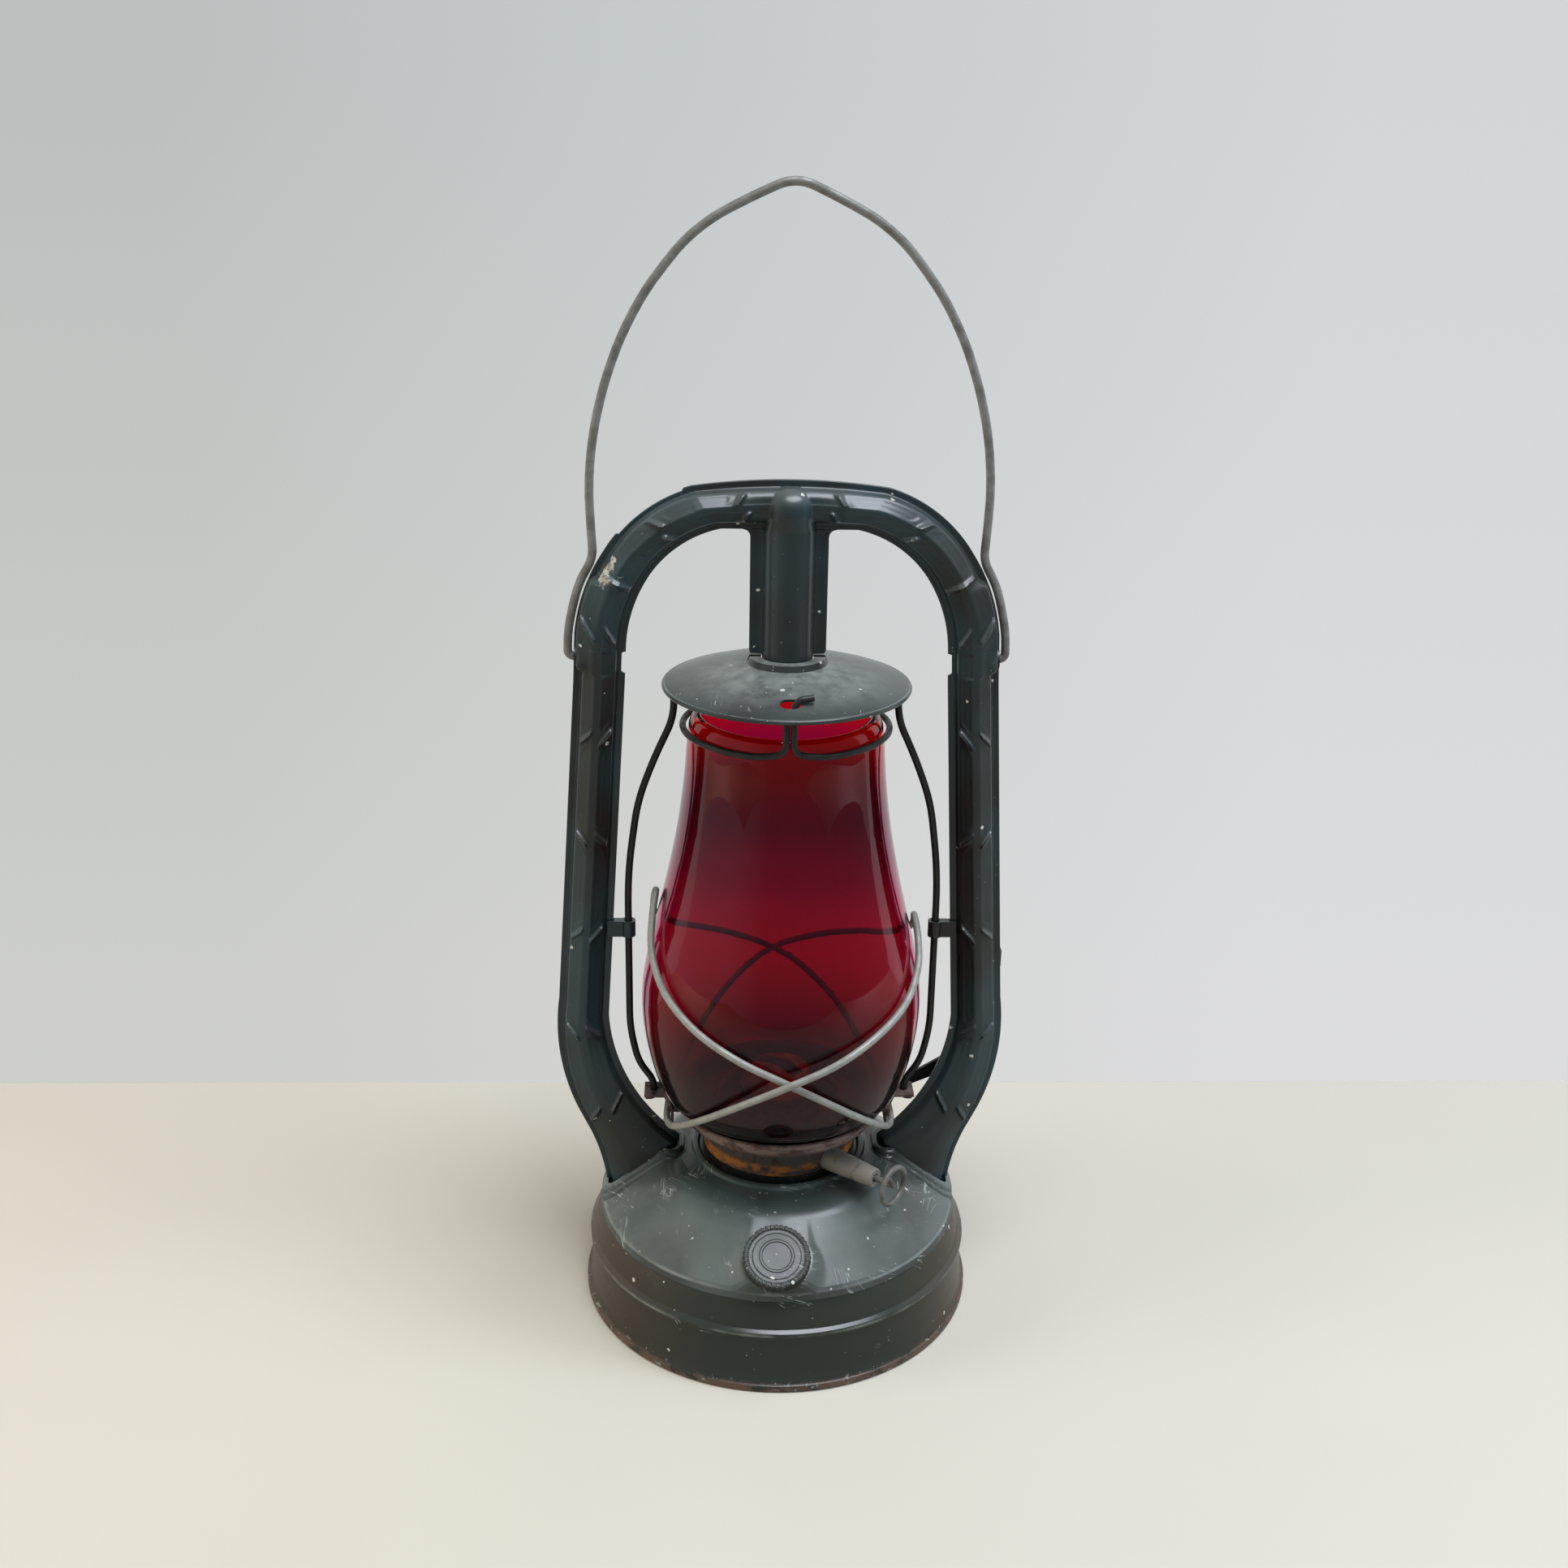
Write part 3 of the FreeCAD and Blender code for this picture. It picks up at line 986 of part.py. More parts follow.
def frame_half(name, side):
    """One stamped half of the frame. side is -1 for the front half and 1 for the back."""
    body = new_body(f"{name}_shell")

    def plate(label, corners, thick, *more):
        sketch = outline(body, f"{name}_{label}_outline", "XZ_Plane", corners)
        for loop in more:
            add_loop(sketch, loop)
        feature(body, "Pad", f"{name}_{label}", sketch, Length=thick).Reversed = side > 0

    def pressing(kind, label, steps):
        """Loft through the frame's edge moved in by an amount at each depth."""
        sketches = [outline(body, f"{name}_{label}_{count}", "XZ_Plane", moved_in(FRAME_EDGE, inset),
                            f"-({side}) * ({depth})") for count, (inset, depth) in enumerate(steps)]
        loft = body.newObject(f"PartDesign::{kind}Loft", f"{name}_{label}")
        loft.Profile = sketches[0]
        loft.Sections = sketches[1:]
        loft.Ruled = True

    plate("flange", FRAME_EDGE, "flange_thick")
    plate("leg_flange", [
        ("-centre_flange", "centre_flange_foot"),
        ("centre_flange", "centre_flange_foot"),
        ("centre_flange", f"{WINDOW_TOP} - centre_corner"),
        ("centre_flange + centre_corner", WINDOW_TOP, "-centre_corner"),
        ("centre_flange + centre_corner", f"{WINDOW_TOP} + 1"),
        ("-centre_flange - centre_corner", f"{WINDOW_TOP} + 1"),
        ("-centre_flange - centre_corner", WINDOW_TOP),
        ("-centre_flange", f"{WINDOW_TOP} - centre_corner", "-centre_corner"),
    ], "flange_thick")
    pressing("Additive", "tube", [
        ("flange", "0"),
        (PANEL_INSET, "wall_depth"),
        (CREST_INSET, CREST),
    ])
    barrel_outline = outline(body, f"{name}_barrel_outline", "XZ_Plane", [
        ("0", "centre_foot"),
        ("centre_radius", "centre_foot"),
        ("centre_radius", "head_height - head_radius"),
        ("centre_radius - head_radius", "head_height", "head_radius"),
        ("0", "head_height"),
    ])
    barrel = feature(body, "Revolution", f"{name}_barrel", barrel_outline)
    barrel.Angle = 180
    barrel.Reversed = side < 0
    panel_wall = "(tinplate / cos(panel_draft))"
    pressing("Subtractive", "hollow", [
        ("flange + tinplate", "0"),
        (f"{PANEL_INSET} + {panel_wall}", "wall_depth"),
        (f"{CREST_INSET} + {panel_wall} - tinplate * tan(panel_draft)", f"{CREST} - tinplate"),
    ])
    feature(body, "Groove", f"{name}_bore", outline(body, f"{name}_bore_outline", "XZ_Plane", [
        ("0", "centre_foot - 1"),
        ("centre_radius - tinplate", "centre_foot - 1"),
        ("centre_radius - tinplate", "head_height - head_radius"),
        ("centre_radius - head_radius", "head_height - tinplate", "head_radius - tinplate"),
        ("0", "head_height - tinplate"),
    ]))
    foot_outline = outline(body, f"{name}_foot_outline", "XZ_Plane", BELOW + slope_line(SLOPE_GAP))
    feature(body, "Groove", f"{name}_foot_cut", foot_outline)
    hip = [
        ("bail_seat_spread - 5", "notch_low"),
        ("bail_seat_spread + 0.3", "notch_low + 2"),
        ("bail_seat_spread - 0.2", "bail_seat_height"),
        ("bail_seat_spread - 2.2", "bail_seat_height + 10.5"),
        ("bail_seat_spread - 5.2", "bail_seat_height + 17"),
        ("bail_seat_spread - 8.5", "bail_seat_height + 17"),
        ("bail_seat_spread - 4.5", "bail_seat_height"),
    ]
    plate("hips", signed("", hip), "wall_depth", signed("-", hip))
    notch = [
        ("waist_spread - 4", "notch_low"),
        ("waist_spread + notch_depth - 0.3", "notch_low"),
        ("waist_spread + notch_depth - 0.3", "notch_high"),
        ("waist_spread - 4", "notch_high"),
    ]
    notches = outline(body, f"{name}_notch_outline", "XZ_Plane", signed("", notch))
    add_loop(notches, signed("-", notch))
    both_ways(feature(body, "Pocket", f"{name}_notches", notches, Length="4 * flange_thick"))

    holes = [bore_through(f"{name}_eyelet_hole_right", "eyelet_radius + gap", "20", "eyelet_inner - gap",
                          "0", "pivot_height", ACROSS, "90"),
             bore_through(f"{name}_eyelet_hole_left", "eyelet_radius + gap", "20", "gap - eyelet_inner",
                          "0", "pivot_height", ACROSS, "-90")]
    if side > 0:
        holes.append(bore_through("lever_hole", "rivet_radius + pivot_room", "8", "lever_spread",
                                  f"{CREST} + 2", "lever_height", SIDEWAYS, "90"))
    drilling = doc.addObject("Part::MultiFuse", f"{name}_holes")
    drilling.Shapes = holes
    drilled = doc.addObject("Part::Cut", f"{name}_drilled")
    drilled.Base = body
    drilled.Tool = drilling
    piece = doc.addObject("Part::MultiFuse", name)
    piece.Label = name
    piece.Shapes = [drilled, *ribs(name, side)]

def sockets():
    """Sockets on the tank top that the tube feet stand in."""
    inner_end = "(foot_inner_spread - gap)"
    outer_end = "(foot_spread + gap)"
    depth = f"({CREST} + gap)"
    lean = f"({CREST_INSET} - 0.5)"
    ring = [
        (inner_end, f"-1"),
        (f"{inner_end} + {lean}", f"-{depth}"),
        (f"{outer_end} - {lean}", f"-{depth}"),
        (outer_end, "-1"),
        (outer_end, "1"),
        (f"{outer_end} - {lean}", depth),
        (f"{inner_end} + {lean}", depth),
        (inner_end, "1"),
    ]
    wall = "socket_wall"
    half_wall = "socket_wall * 0.5"
    outside = [
        (f"{inner_end} - {wall}", f"-1 - {half_wall}"),
        (f"{inner_end} + {lean} - {half_wall}", f"-{depth} - {wall}"),
        (f"{outer_end} - {lean} + {half_wall}", f"-{depth} - {wall}"),
        (f"{outer_end} + {wall}", f"-1 - {half_wall}"),
        (f"{outer_end} + {wall}", f"1 + {half_wall}"),
        (f"{outer_end} - {lean} + {half_wall}", f"{depth} + {wall}"),
        (f"{inner_end} + {lean} - {half_wall}", f"{depth} + {wall}"),
        (f"{inner_end} - {wall}", f"1 + {half_wall}"),
    ]
    for name, sign in (("tube_socket_left", "-"), ("tube_socket_right", "")):
        body = new_body(name)
        turned_outside = [(f"{sign}({x})", y) for x, y in outside]
        turned_ring = [(f"{sign}({x})", y) for x, y in ring]
        low = "slope_foot_height - 10"
        feature(body, "Pad", f"{name}_solid", outline(body, f"{name}_outside", "XY_Plane", turned_outside, low),
                Length="40")
        backwards(feature(body, "Pocket", f"{name}_opening",
                          outline(body, f"{name}_inside", "XY_Plane", turned_ring, low), Length="40"))
        feature(body, "Groove", f"{name}_underside",
                outline(body, f"{name}_underside_outline", "XZ_Plane", BELOW + slope_line(SLOPE_GAP)))
        feature(body, "Groove", f"{name}_top",
                outline(body, f"{name}_top_outline", "XZ_Plane",
                        ABOVE + slope_line(f"{SLOPE_GAP} + socket_rise")))

# Right half of the bail: shares of its spread and of its height above the pivots
BAIL_ROUTE = [
    (0.167, 0.965),
    (0.350, 0.920),
    (0.474, 0.872),
    (0.632, 0.778),
    (0.742, 0.681),
    (0.818, 0.581),
    (0.868, 0.480),
    (0.890, 0.376),
    (0.882, 0.272),
    (0.875, 0.221),
    (0.940, 0.165),
    (0.972, 0.112),
    (0.996, 0.056),
]

def bail():
    half = [(f"bail_spread * {x}", f"pivot_height + (bail_height - pivot_height) * {z}")
            for x, z in BAIL_ROUTE]
    half += [("bail_spread", "pivot_height"), ("bail_pin_end", "pivot_height")]
    left = [(f"-{x}", z) for x, z in reversed(half)]
    flat_wire("bail", left + [("0", "bail_height")] + half, "bail_wire")
    for name, start in (("bail_eyelet_left", "-eyelet_outer"), ("bail_eyelet_right", "eyelet_inner")):
        body = new_body(name)
        rod(body, "Additive", f"{name}_sleeve", "eyelet_radius", "eyelet_outer - eyelet_inner",
            start, "0", "pivot_height", ACROSS, "90")
        rod(body, "Subtractive", f"{name}_bore", "bail_wire / 2 + pivot_room", "40",
            f"{start} - 10", "0", "pivot_height", ACROSS, "90")

def lift_wires():
    hook = "ear_shelf - 3 * gap - lift_wire / 2"
    route = [
        ("wire_foot_spread + wire_hook", hook),
        ("wire_foot_spread", hook),
        ("wire_foot_spread + 0.2", "ear_shelf + 5"),
        ("wire_spread - 3.2", "ear_shelf + 14"),
        ("wire_spread", "ear_shelf + 29.5"),
        ("wire_spread", "canopy_rim_height - 77.6"),
        ("wire_spread - 4.2", "canopy_rim_height - 47.6"),
        ("wire_spread - 10.6", "canopy_rim_height - 30"),
        ("wire_top_spread + 0.2", "canopy_rim_height - 13.6"),
        ("wire_top_spread", "canopy_rim_height - 0.2"),
    ]
    flat_wire("lift_wire_right", route, "lift_wire")
    flat_wire("lift_wire_left", [(f"-({x})", z) for x, z in route], "lift_wire")

def wire_guides():
    """Forked clips on the frame's inner flanges with an eye for each lift wire."""
    edge = ("(waist_spread + (calf_spread - waist_spread) * (hip_height - guide_high)"
            " / (hip_height - calf_height) - gap)")
    half = "(flange_thick + guide_wall)"
    height = "guide_high - guide_low"
    for name, sign in (("wire_guide_left", "-"), ("wire_guide_right", "")):
        body = new_body(name)
        rod(body, "Additive", f"{name}_eye", "lift_wire / 2 + gap + guide_wall", height,
            f"{sign}wire_spread", "0", "guide_low")
        web = block(body, f"{name}_web_outline", "XY_Plane", f"{sign}wire_spread", f"-{half}",
                    f"{sign}guide_reach", half, "guide_low")
        feature(body, "Pad", f"{name}_web", web, Length=height)
        slot = block(body, f"{name}_slot_outline", "XY_Plane", f"{sign}{edge}", "-flange_thick",
                     f"{sign}(guide_reach + 1)", "flange_thick", "guide_low")
        backwards(feature(body, "Pocket", f"{name}_slot", slot, Length=height))
        rod(body, "Subtractive", f"{name}_bore", "lift_wire / 2 + gap", height,
            f"{sign}wire_spread", "0", "guide_low")

LEVER_FACE = f"({CREST} + spacer_thick)"
FINGER_HEIGHT = "(ear_shelf - finger_radius - gap)"

def lever():
    body = new_body("lift_lever")
    strip = outline(body, "lever_outline", "XZ_Plane", [
        ("finger_spread - 2.8", f"{FINGER_HEIGHT} + 0.6"),
        ("finger_spread - 0.8", f"{FINGER_HEIGHT} - 2.4"),
        ("lever_spread + 1.4", "lever_height - 4.6"),
        ("lever_spread + 4.4", "lever_height - 0.4"),
        ("thumb_spread + 1.8", "thumb_height - 3.4"),
        ("thumb_spread + 1.8", "thumb_height + 3.4"),
        ("thumb_spread - 3", "thumb_height + 3.4"),
        ("lever_spread - 2.4", "lever_height + 4.4"),
        ("lever_spread - 4.8", "lever_height + 1.2"),
    ], f"-{LEVER_FACE}")
    backwards(feature(body, "Pad", "lever_strip", strip, Length="lever_thick"))
    thumb = block(body, "thumb_outline", "XZ_Plane", "thumb_spread + 1.8 - lever_thick",
                  "thumb_height - 3.4", "thumb_spread + 1.8", "thumb_height + 3.4", f"-{LEVER_FACE}")
    backwards(feature(body, "Pad", "thumb_tab", thumb, Length="5 * lever_thick"))
    rod(body, "Additive", "lifting_finger", "finger_radius", f"{LEVER_FACE} + lever_thick - finger_end",
        "finger_spread", f"{LEVER_FACE} + lever_thick", FINGER_HEIGHT, SIDEWAYS, "90")
    rod(body, "Subtractive", "pivot_hole", "rivet_radius + pivot_room", "4 * lever_thick",
        "lever_spread", f"{LEVER_FACE} + 2 * lever_thick", "lever_height", SIDEWAYS, "90")

    spacer = new_body("lever_spacer")
    rod(spacer, "Additive", "spacer_disc", "spacer_radius", "spacer_thick",
        "lever_spread", LEVER_FACE, "lever_height", SIDEWAYS, "90")
    rod(spacer, "Subtractive", "spacer_bore", "rivet_radius + pivot_room", "4 * spacer_thick",
        "lever_spread", f"{LEVER_FACE} + spacer_thick", "lever_height", SIDEWAYS, "90")

    rivet = new_body("lever_rivet")
    head_face = f"({LEVER_FACE} + lever_thick)"
    rod(rivet, "Additive", "rivet_shank", "rivet_radius", f"{head_face} - {CREST} + 2.4",
        "lever_spread", head_face, "lever_height", SIDEWAYS, "90")
    rod(rivet, "Additive", "rivet_head_disc", "rivet_head", "rivet_head_thick",
        "lever_spread", f"{head_face} + rivet_head_thick", "lever_height", SIDEWAYS, "90")

def build():
    tank_body()
    tank_bottom()
    tank_top()
    filler()
    burner()
    flame_cone()
    wick_and_tube()
    spindle()
    globe_plate()
    globe()
    canopy()
    sockets()
    bail()
    lift_wires()
    wire_guides()
    lever()
    frame_half("frame_front", -1)
    frame_half("frame_back", 1)
    doc.recompute()
    globe_ring()
    guard_wires()

def export():
    """Check every object, then write one file for each part."""
    doc.recompute()
    for item in doc.Objects:
        if "Invalid" in item.State or "Error" in item.State:
            raise RuntimeError(f"{item.Name} did not build: {item.State}")
    os.makedirs("parts", exist_ok=True)
    for item in doc.Objects:
        finished = item.TypeId in ("PartDesign::Body", "Part::Feature", "Part::MultiFuse")
        if not finished or item.Label.endswith(("_shell", "_holes")):
            continue
        shape = item.Shape
        if shape.isNull() or not shape.isValid():
            raise RuntimeError(f"{item.Label} has no valid solid")
        shape.exportStep(f"parts/{item.Label}.step")
        print(f"{item.Label}: {len(shape.Solids)} solid, {shape.Volume / 1000:.2f} cm3")

build()
export()
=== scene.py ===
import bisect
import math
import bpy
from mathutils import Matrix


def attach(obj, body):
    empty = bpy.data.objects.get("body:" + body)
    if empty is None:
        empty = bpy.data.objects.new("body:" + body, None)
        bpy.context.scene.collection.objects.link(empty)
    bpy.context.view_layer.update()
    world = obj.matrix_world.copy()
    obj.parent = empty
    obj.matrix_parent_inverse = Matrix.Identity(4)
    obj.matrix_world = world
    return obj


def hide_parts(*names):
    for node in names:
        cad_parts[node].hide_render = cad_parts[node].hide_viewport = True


bl_info = {
    "name": "Hurricane Lantern",
    "version": (1, 0, 0),
    "blender": (4, 5, 0),
    "location": "View3D > Sidebar > Lantern",
    "description": "Dresses the lantern's frame with sheet metal, glass, wire and worn finishes",
    "category": "Add Mesh",
}

import bmesh
import bpy
from mathutils import Matrix, Vector

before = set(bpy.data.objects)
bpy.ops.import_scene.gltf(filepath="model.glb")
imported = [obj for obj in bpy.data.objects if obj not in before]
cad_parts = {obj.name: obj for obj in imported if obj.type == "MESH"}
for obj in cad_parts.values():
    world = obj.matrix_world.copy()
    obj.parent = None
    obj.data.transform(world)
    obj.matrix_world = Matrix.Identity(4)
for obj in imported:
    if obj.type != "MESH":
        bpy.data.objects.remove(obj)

MM = 0.001


def linear(code):
    """Linear colour of an sRGB hex value such as #2b3433."""
    parts = [int(code[start:start + 2], 16) / 255 for start in (1, 3, 5)]
    return tuple(part / 12.92 if part <= 0.04045 else ((part + 0.055) / 1.055) ** 2.4
                 for part in parts)


def colour_property(name, note, code):
    """Colour that the panel shows, from its sRGB hex value."""
    return bpy.props.FloatVectorProperty(name=name, description=note, subtype="COLOR", size=3,
                                         min=0, max=1, default=linear(code))


def size_property(name, note, value):
    """Length that the panel shows, from millimetres."""
    return bpy.props.FloatProperty(name=name, description=note, unit="LENGTH", subtype="DISTANCE",
                                   min=0, precision=5, default=value * MM)


class LanternSizes(bpy.types.PropertyGroup):
    """Depths of the pressings and rounding that only the dressed lantern has."""

    crest: size_property("Tube crest", "Half width of the narrow crest along the frame's tubes",
                         1.1)
    rib: size_property("Cross rib", "Height of the pressed cross ribs on the tubes", 1.8)
    sunk: size_property("Sunk panels", "Depth of the long hollows between the cross ribs", 0.25)
    guard_gap: size_property("Guard gap", "Room between the globe and its guard wires", 1.2)


class LanternColours(bpy.types.PropertyGroup):
    """Colours of the paint, glass and metals."""

    paint: colour_property("Frame paint", "Dark grey-green enamel of the frame", "#22363a")
    paint_warm: colour_property("Frame paint, warm", "Enamel where it has darkened with age", "#1f2220")
    tank: colour_property("Tank paint", "Duller enamel of the tank top", "#3b4946")
    canopy: colour_property("Canopy paint", "Heat dulled enamel of the canopy", "#343c39")
    dust: colour_property("Dust", "Grey film on upward faces", "#868c86")
    skirt: colour_property("Skirt paint", "Olive enamel of the skirt", "#1f2720")
    # Painted brown reflection of the room on the skirt's left and right sides
    skirt_side_reflection: colour_property("Skirt, painted side reflection", "Painted brown reflection on the skirt's sides", "#3a2c1d")
    rust: colour_property("Rust", "Brown rust on rims", "#5f493b")
    fresh_rust: colour_property("Fresh rust", "Orange rust on the burner", "#8f5a26")
    zinc: colour_property("Guard wire", "Zinc coat of the guard wires", "#979790")
    table: colour_property("Table", "Pale table under the lantern", "#cfc9ba")


# ------------------------------------------------------------------ materials

def plug(tree, node, sockets):
    """Set or link the inputs of a node. A node given as a value lends its first output."""
    for socket, value in sockets.items():
        inlet = node.inputs[socket]
        if isinstance(value, bpy.types.Node):
            value = value.outputs[0]
        if isinstance(value, bpy.types.NodeSocket):
            tree.links.new(value, inlet)
        elif inlet.type == "RGBA":
            inlet.default_value = (*value[:3], 1.0)
        else:
            inlet.default_value = value


def add(tree, kind, sockets=None, **settings):
    """Add a shader node, apply its settings, and set or link its inputs."""
    node = tree.nodes.new(f"ShaderNode{kind}")
    for name, value in settings.items():
        setattr(node, name, value)
    plug(tree, node, sockets or {})
    return node


def fresh_material(name):
    """Empty material with one surface shader. Returns the material, its tree and the shader."""
    material = bpy.data.materials.new(name)
    material.use_nodes = True
    tree = material.node_tree
    tree.nodes.clear()
    shader = add(tree, "BsdfPrincipled")
    add(tree, "OutputMaterial", {"Surface": shader})
    return material, tree, shader


def place_of(tree):
    """Position on the object in metres."""
    return add(tree, "TexCoord").outputs["Object"]


def patches(tree, grain, low, high, detail=4.0, stretch=(1, 1, 1), seed=0.0, most=1.0):
    """Patches of a grain in millimetres, as a share that rises from low to high noise."""
    spot = add(tree, "Mapping",
               {"Vector": place_of(tree), "Location": (seed, seed * 0.7, seed * 1.3),
                "Scale": tuple(1000 / (grain * part) for part in stretch)})
    noise = add(tree, "TexNoise",
                {"Vector": spot, "Scale": 1.0, "Detail": detail, "Roughness": 0.6})
    return add(tree, "MapRange",
               {"Value": noise, "From Min": low, "From Max": high, "To Max": most},
               interpolation_type="SMOOTHSTEP")


def specks(tree, spacing, reach, share, seed=0.0):
    """Ragged spots: spacing and radius in millimetres, and the share of cells that have one."""
    spot = add(tree, "Mapping", {"Vector": place_of(tree), "Location": (seed, seed, -seed),
                                 "Scale": (1000 / spacing,) * 3})
    wobble = add(tree, "TexNoise", {"Vector": spot, "Scale": 2.4, "Detail": 2.0})
    moved = add(tree, "MixRGB", {"Fac": 0.12, "Color1": spot, "Color2": wobble.outputs["Color"]},
                blend_type="LINEAR_LIGHT")
    cells = add(tree, "TexVoronoi", {"Vector": moved, "Scale": 1.0})
    kept = add(tree, "SeparateColor", {"Color": cells.outputs["Color"]})
    room = add(tree, "MapRange", {"Value": kept, "From Min": 1 - share, "To Max": reach / spacing})
    return add(tree, "Math", {0: cells, 1: room}, operation="LESS_THAN")


def strokes(tree, spacing, turn, share, seed):
    """Long scratches: spacing in millimetres, turn in degrees and the share of ground with any."""
    turned = add(tree, "Mapping",
                 {"Vector": place_of(tree), "Rotation": tuple(map(math.radians, turn))})
    spot = add(tree, "Mapping", {"Vector": turned, "Location": (seed,) * 3,
                                 "Scale": (1000 / spacing, 40 / spacing, 40 / spacing)})
    noise = add(tree, "TexNoise", {"Vector": spot, "Scale": 1.0, "Detail": 1.0})
    line = add(tree, "Math", {0: noise, 1: 0.5, 2: 0.012}, operation="COMPARE")
    return add(tree, "Math",
               {0: line, 1: patches(tree, 15, 0.72 - share, 0.76 - share, 3.0, seed=seed)},
               operation="MULTIPLY")


def part_of(tree, axis, start, finish):
    """Share that goes from 0 to 1 between two places in millimetres on the X, Y or Z axis."""
    spot = add(tree, "SeparateXYZ", {0: place_of(tree)})
    return add(tree, "MapRange",
               {"Value": spot.outputs[axis], "From Min": start * MM, "From Max": finish * MM})


def facing_up(tree, low, high):
    """Share of a surface that faces upwards."""
    normal = add(tree, "SeparateXYZ", {0: add(tree, "NewGeometry").outputs["Normal"]})
    return add(tree, "MapRange", {"Value": normal.outputs["Z"], "From Min": low, "From Max": high},
               interpolation_type="SMOOTHSTEP")


def laid_over(tree, under, over, share, *others):
    """Lay one finish on another where all shares meet. A finish is a colour and its roughness."""
    for other in others:
        share = add(tree, "Math", {0: share, 1: other}, operation="MULTIPLY", use_clamp=True)
    colour = add(tree, "MixRGB", {"Fac": share, "Color1": under[0], "Color2": over[0]})
    rough = add(tree, "MapRange", {"Value": share, "To Min": under[1], "To Max": over[1]})
    return colour, rough


def finished(tree, shader, finish, height, depth, strength):
    """Give a shader its finish, and a relief of a depth in millimetres."""
    relief = add(tree, "Bump", {"Height": height, "Distance": depth * MM, "Strength": strength})
    plug(tree, shader, {"Base Color": finish[0], "Roughness": finish[1], "Normal": relief})


def enamelled_tinplate(name, paint, second_tone, film, gloss, filmed, spotted, scratched=0.0,
                       rust=None, rusty=0.0, facing=(-0.1, 0.75), cloud=40,
                       wiped=None, rubbed_highlight=None, bared=None, side_reflections=False):
    """Old oil enamel on tinplate: orange peel gloss under a grey film, with pale dots and strokes.

    The film lies on faces that point up (facing), in clouds of a width in millimetres, and fades
    between two heights (wiped). A lighter line along a ridge at a height is a painted highlight
    that also reads as rub wear (rubbed_highlight), a place is bared to a reach, and the sides can
    take a painted brown reflection (side_reflections).
    """
    material, tree, shader = fresh_material(name)
    if side_reflections:
        # Painted brown reflection on the left and right sides, stronger than in the middle
        sides = add(tree, "Math", {0: part_of(tree, "X", -30, -72), 1: part_of(tree, "X", 42, 76)},
                    operation="ADD")
        tint_shares = [sides, patches(tree, 30, 0.2, 0.5, 4.0)]
    else:
        # Oil enamel yellows in clouds about 60 mm wide
        tint_shares = [patches(tree, 60, 0.38, 0.62, 2.0)]
    finish = laid_over(tree, (paint, gloss), (second_tone, gloss + 0.05), *tint_shares)
    dusty = [facing_up(tree, *facing), patches(tree, cloud, 0.1, 0.7, 6.0, seed=3.1, most=filmed)]
    if wiped:
        dusty.append(part_of(tree, "Z", *wiped))
    finish = laid_over(tree, finish, (film, 0.62), *dusty)
    if rust:
        # Rust creeps up from the rolled foot, with chips above it
        finish = laid_over(tree, finish, (rust, 0.7), part_of(tree, "Z", 4.4, 2.2),
                           patches(tree, 7, 0.4, 0.56, 6.0, seed=7.7))
        finish = laid_over(tree, finish, (film, 0.6), part_of(tree, "Z", 5.0, 3.0),
                           patches(tree, 3.2, 0.6, 0.66, 5.0, seed=6.6))
        finish = laid_over(tree, finish, (rust, 0.6),
                           patches(tree, 22, 0.58, 0.78, 8.0, seed=5.2, most=rusty))
    if rubbed_highlight:
        # Painted highlight: a lighter line in the film's colour along the ridge at this height,
        # which also reads as rub wear
        finish = laid_over(tree, finish, (film, 0.3), part_of(tree, "Z", rubbed_highlight - 0.9, rubbed_highlight),
                           part_of(tree, "Z", rubbed_highlight + 0.9, rubbed_highlight),
                           patches(tree, 18, 0.3, 0.7, 5.0, most=0.7))
    if scratched:
        for turn, seed in (((20, 35, 28), 1.3), ((-15, 70, -35), 4.9)):
            finish = laid_over(tree, finish, (film, 0.5), strokes(tree, 1.3, turn, scratched, seed))
    if bared:
        place, reach = bared
        away = add(tree, "VectorMath", {0: place_of(tree), 1: tuple(part * MM for part in place)},
                   operation="DISTANCE")
        near = add(tree, "MapRange", {"Value": away.outputs["Value"], "From Min": reach * MM,
                                      "From Max": reach * 0.3 * MM, "To Max": 0.55})
        rag = add(tree, "Math", {0: near, 1: patches(tree, 5, 0.1, 0.9, 8.0, seed=2.2)},
                  operation="ADD")
        gone = add(tree, "MapRange", {"Value": rag, "From Min": 0.9, "From Max": 0.96})
        tin = add(tree, "MixRGB", {"Fac": patches(tree, 2, 0.35, 0.65, 6.0),
                                   "Color1": linear("#5b584d"), "Color2": linear("#bdbbae")})
        finish = laid_over(tree, finish, (tin, 0.6), gone)
    # Dried splashes 1 to 2 mm wide, and settled grit
    finish = laid_over(tree, finish, (linear("#c4c4b8"), 0.8),
                       specks(tree, 8, 1.0, spotted * 0.8, 2.3),
                       patches(tree, 3, 0.25, 0.45, most=0.95))
    finish = laid_over(tree, finish, (linear("#8f928a"), 0.8),
                       specks(tree, 2.8, 0.4, spotted * 0.45, 5.9), facing_up(tree, -0.3, 0.6))
    plug(tree, shader, {"Coat Weight": 0.35, "Coat Roughness": 0.16, "Specular IOR Level": 0.45})
    # Orange peel about 2.5 mm apart, shallow enough to bend only the highlights
    finished(tree, shader, finish, patches(tree, 2.5, 0.2, 0.8, 1.0, seed=9.1), 0.02, 0.35)
    return material


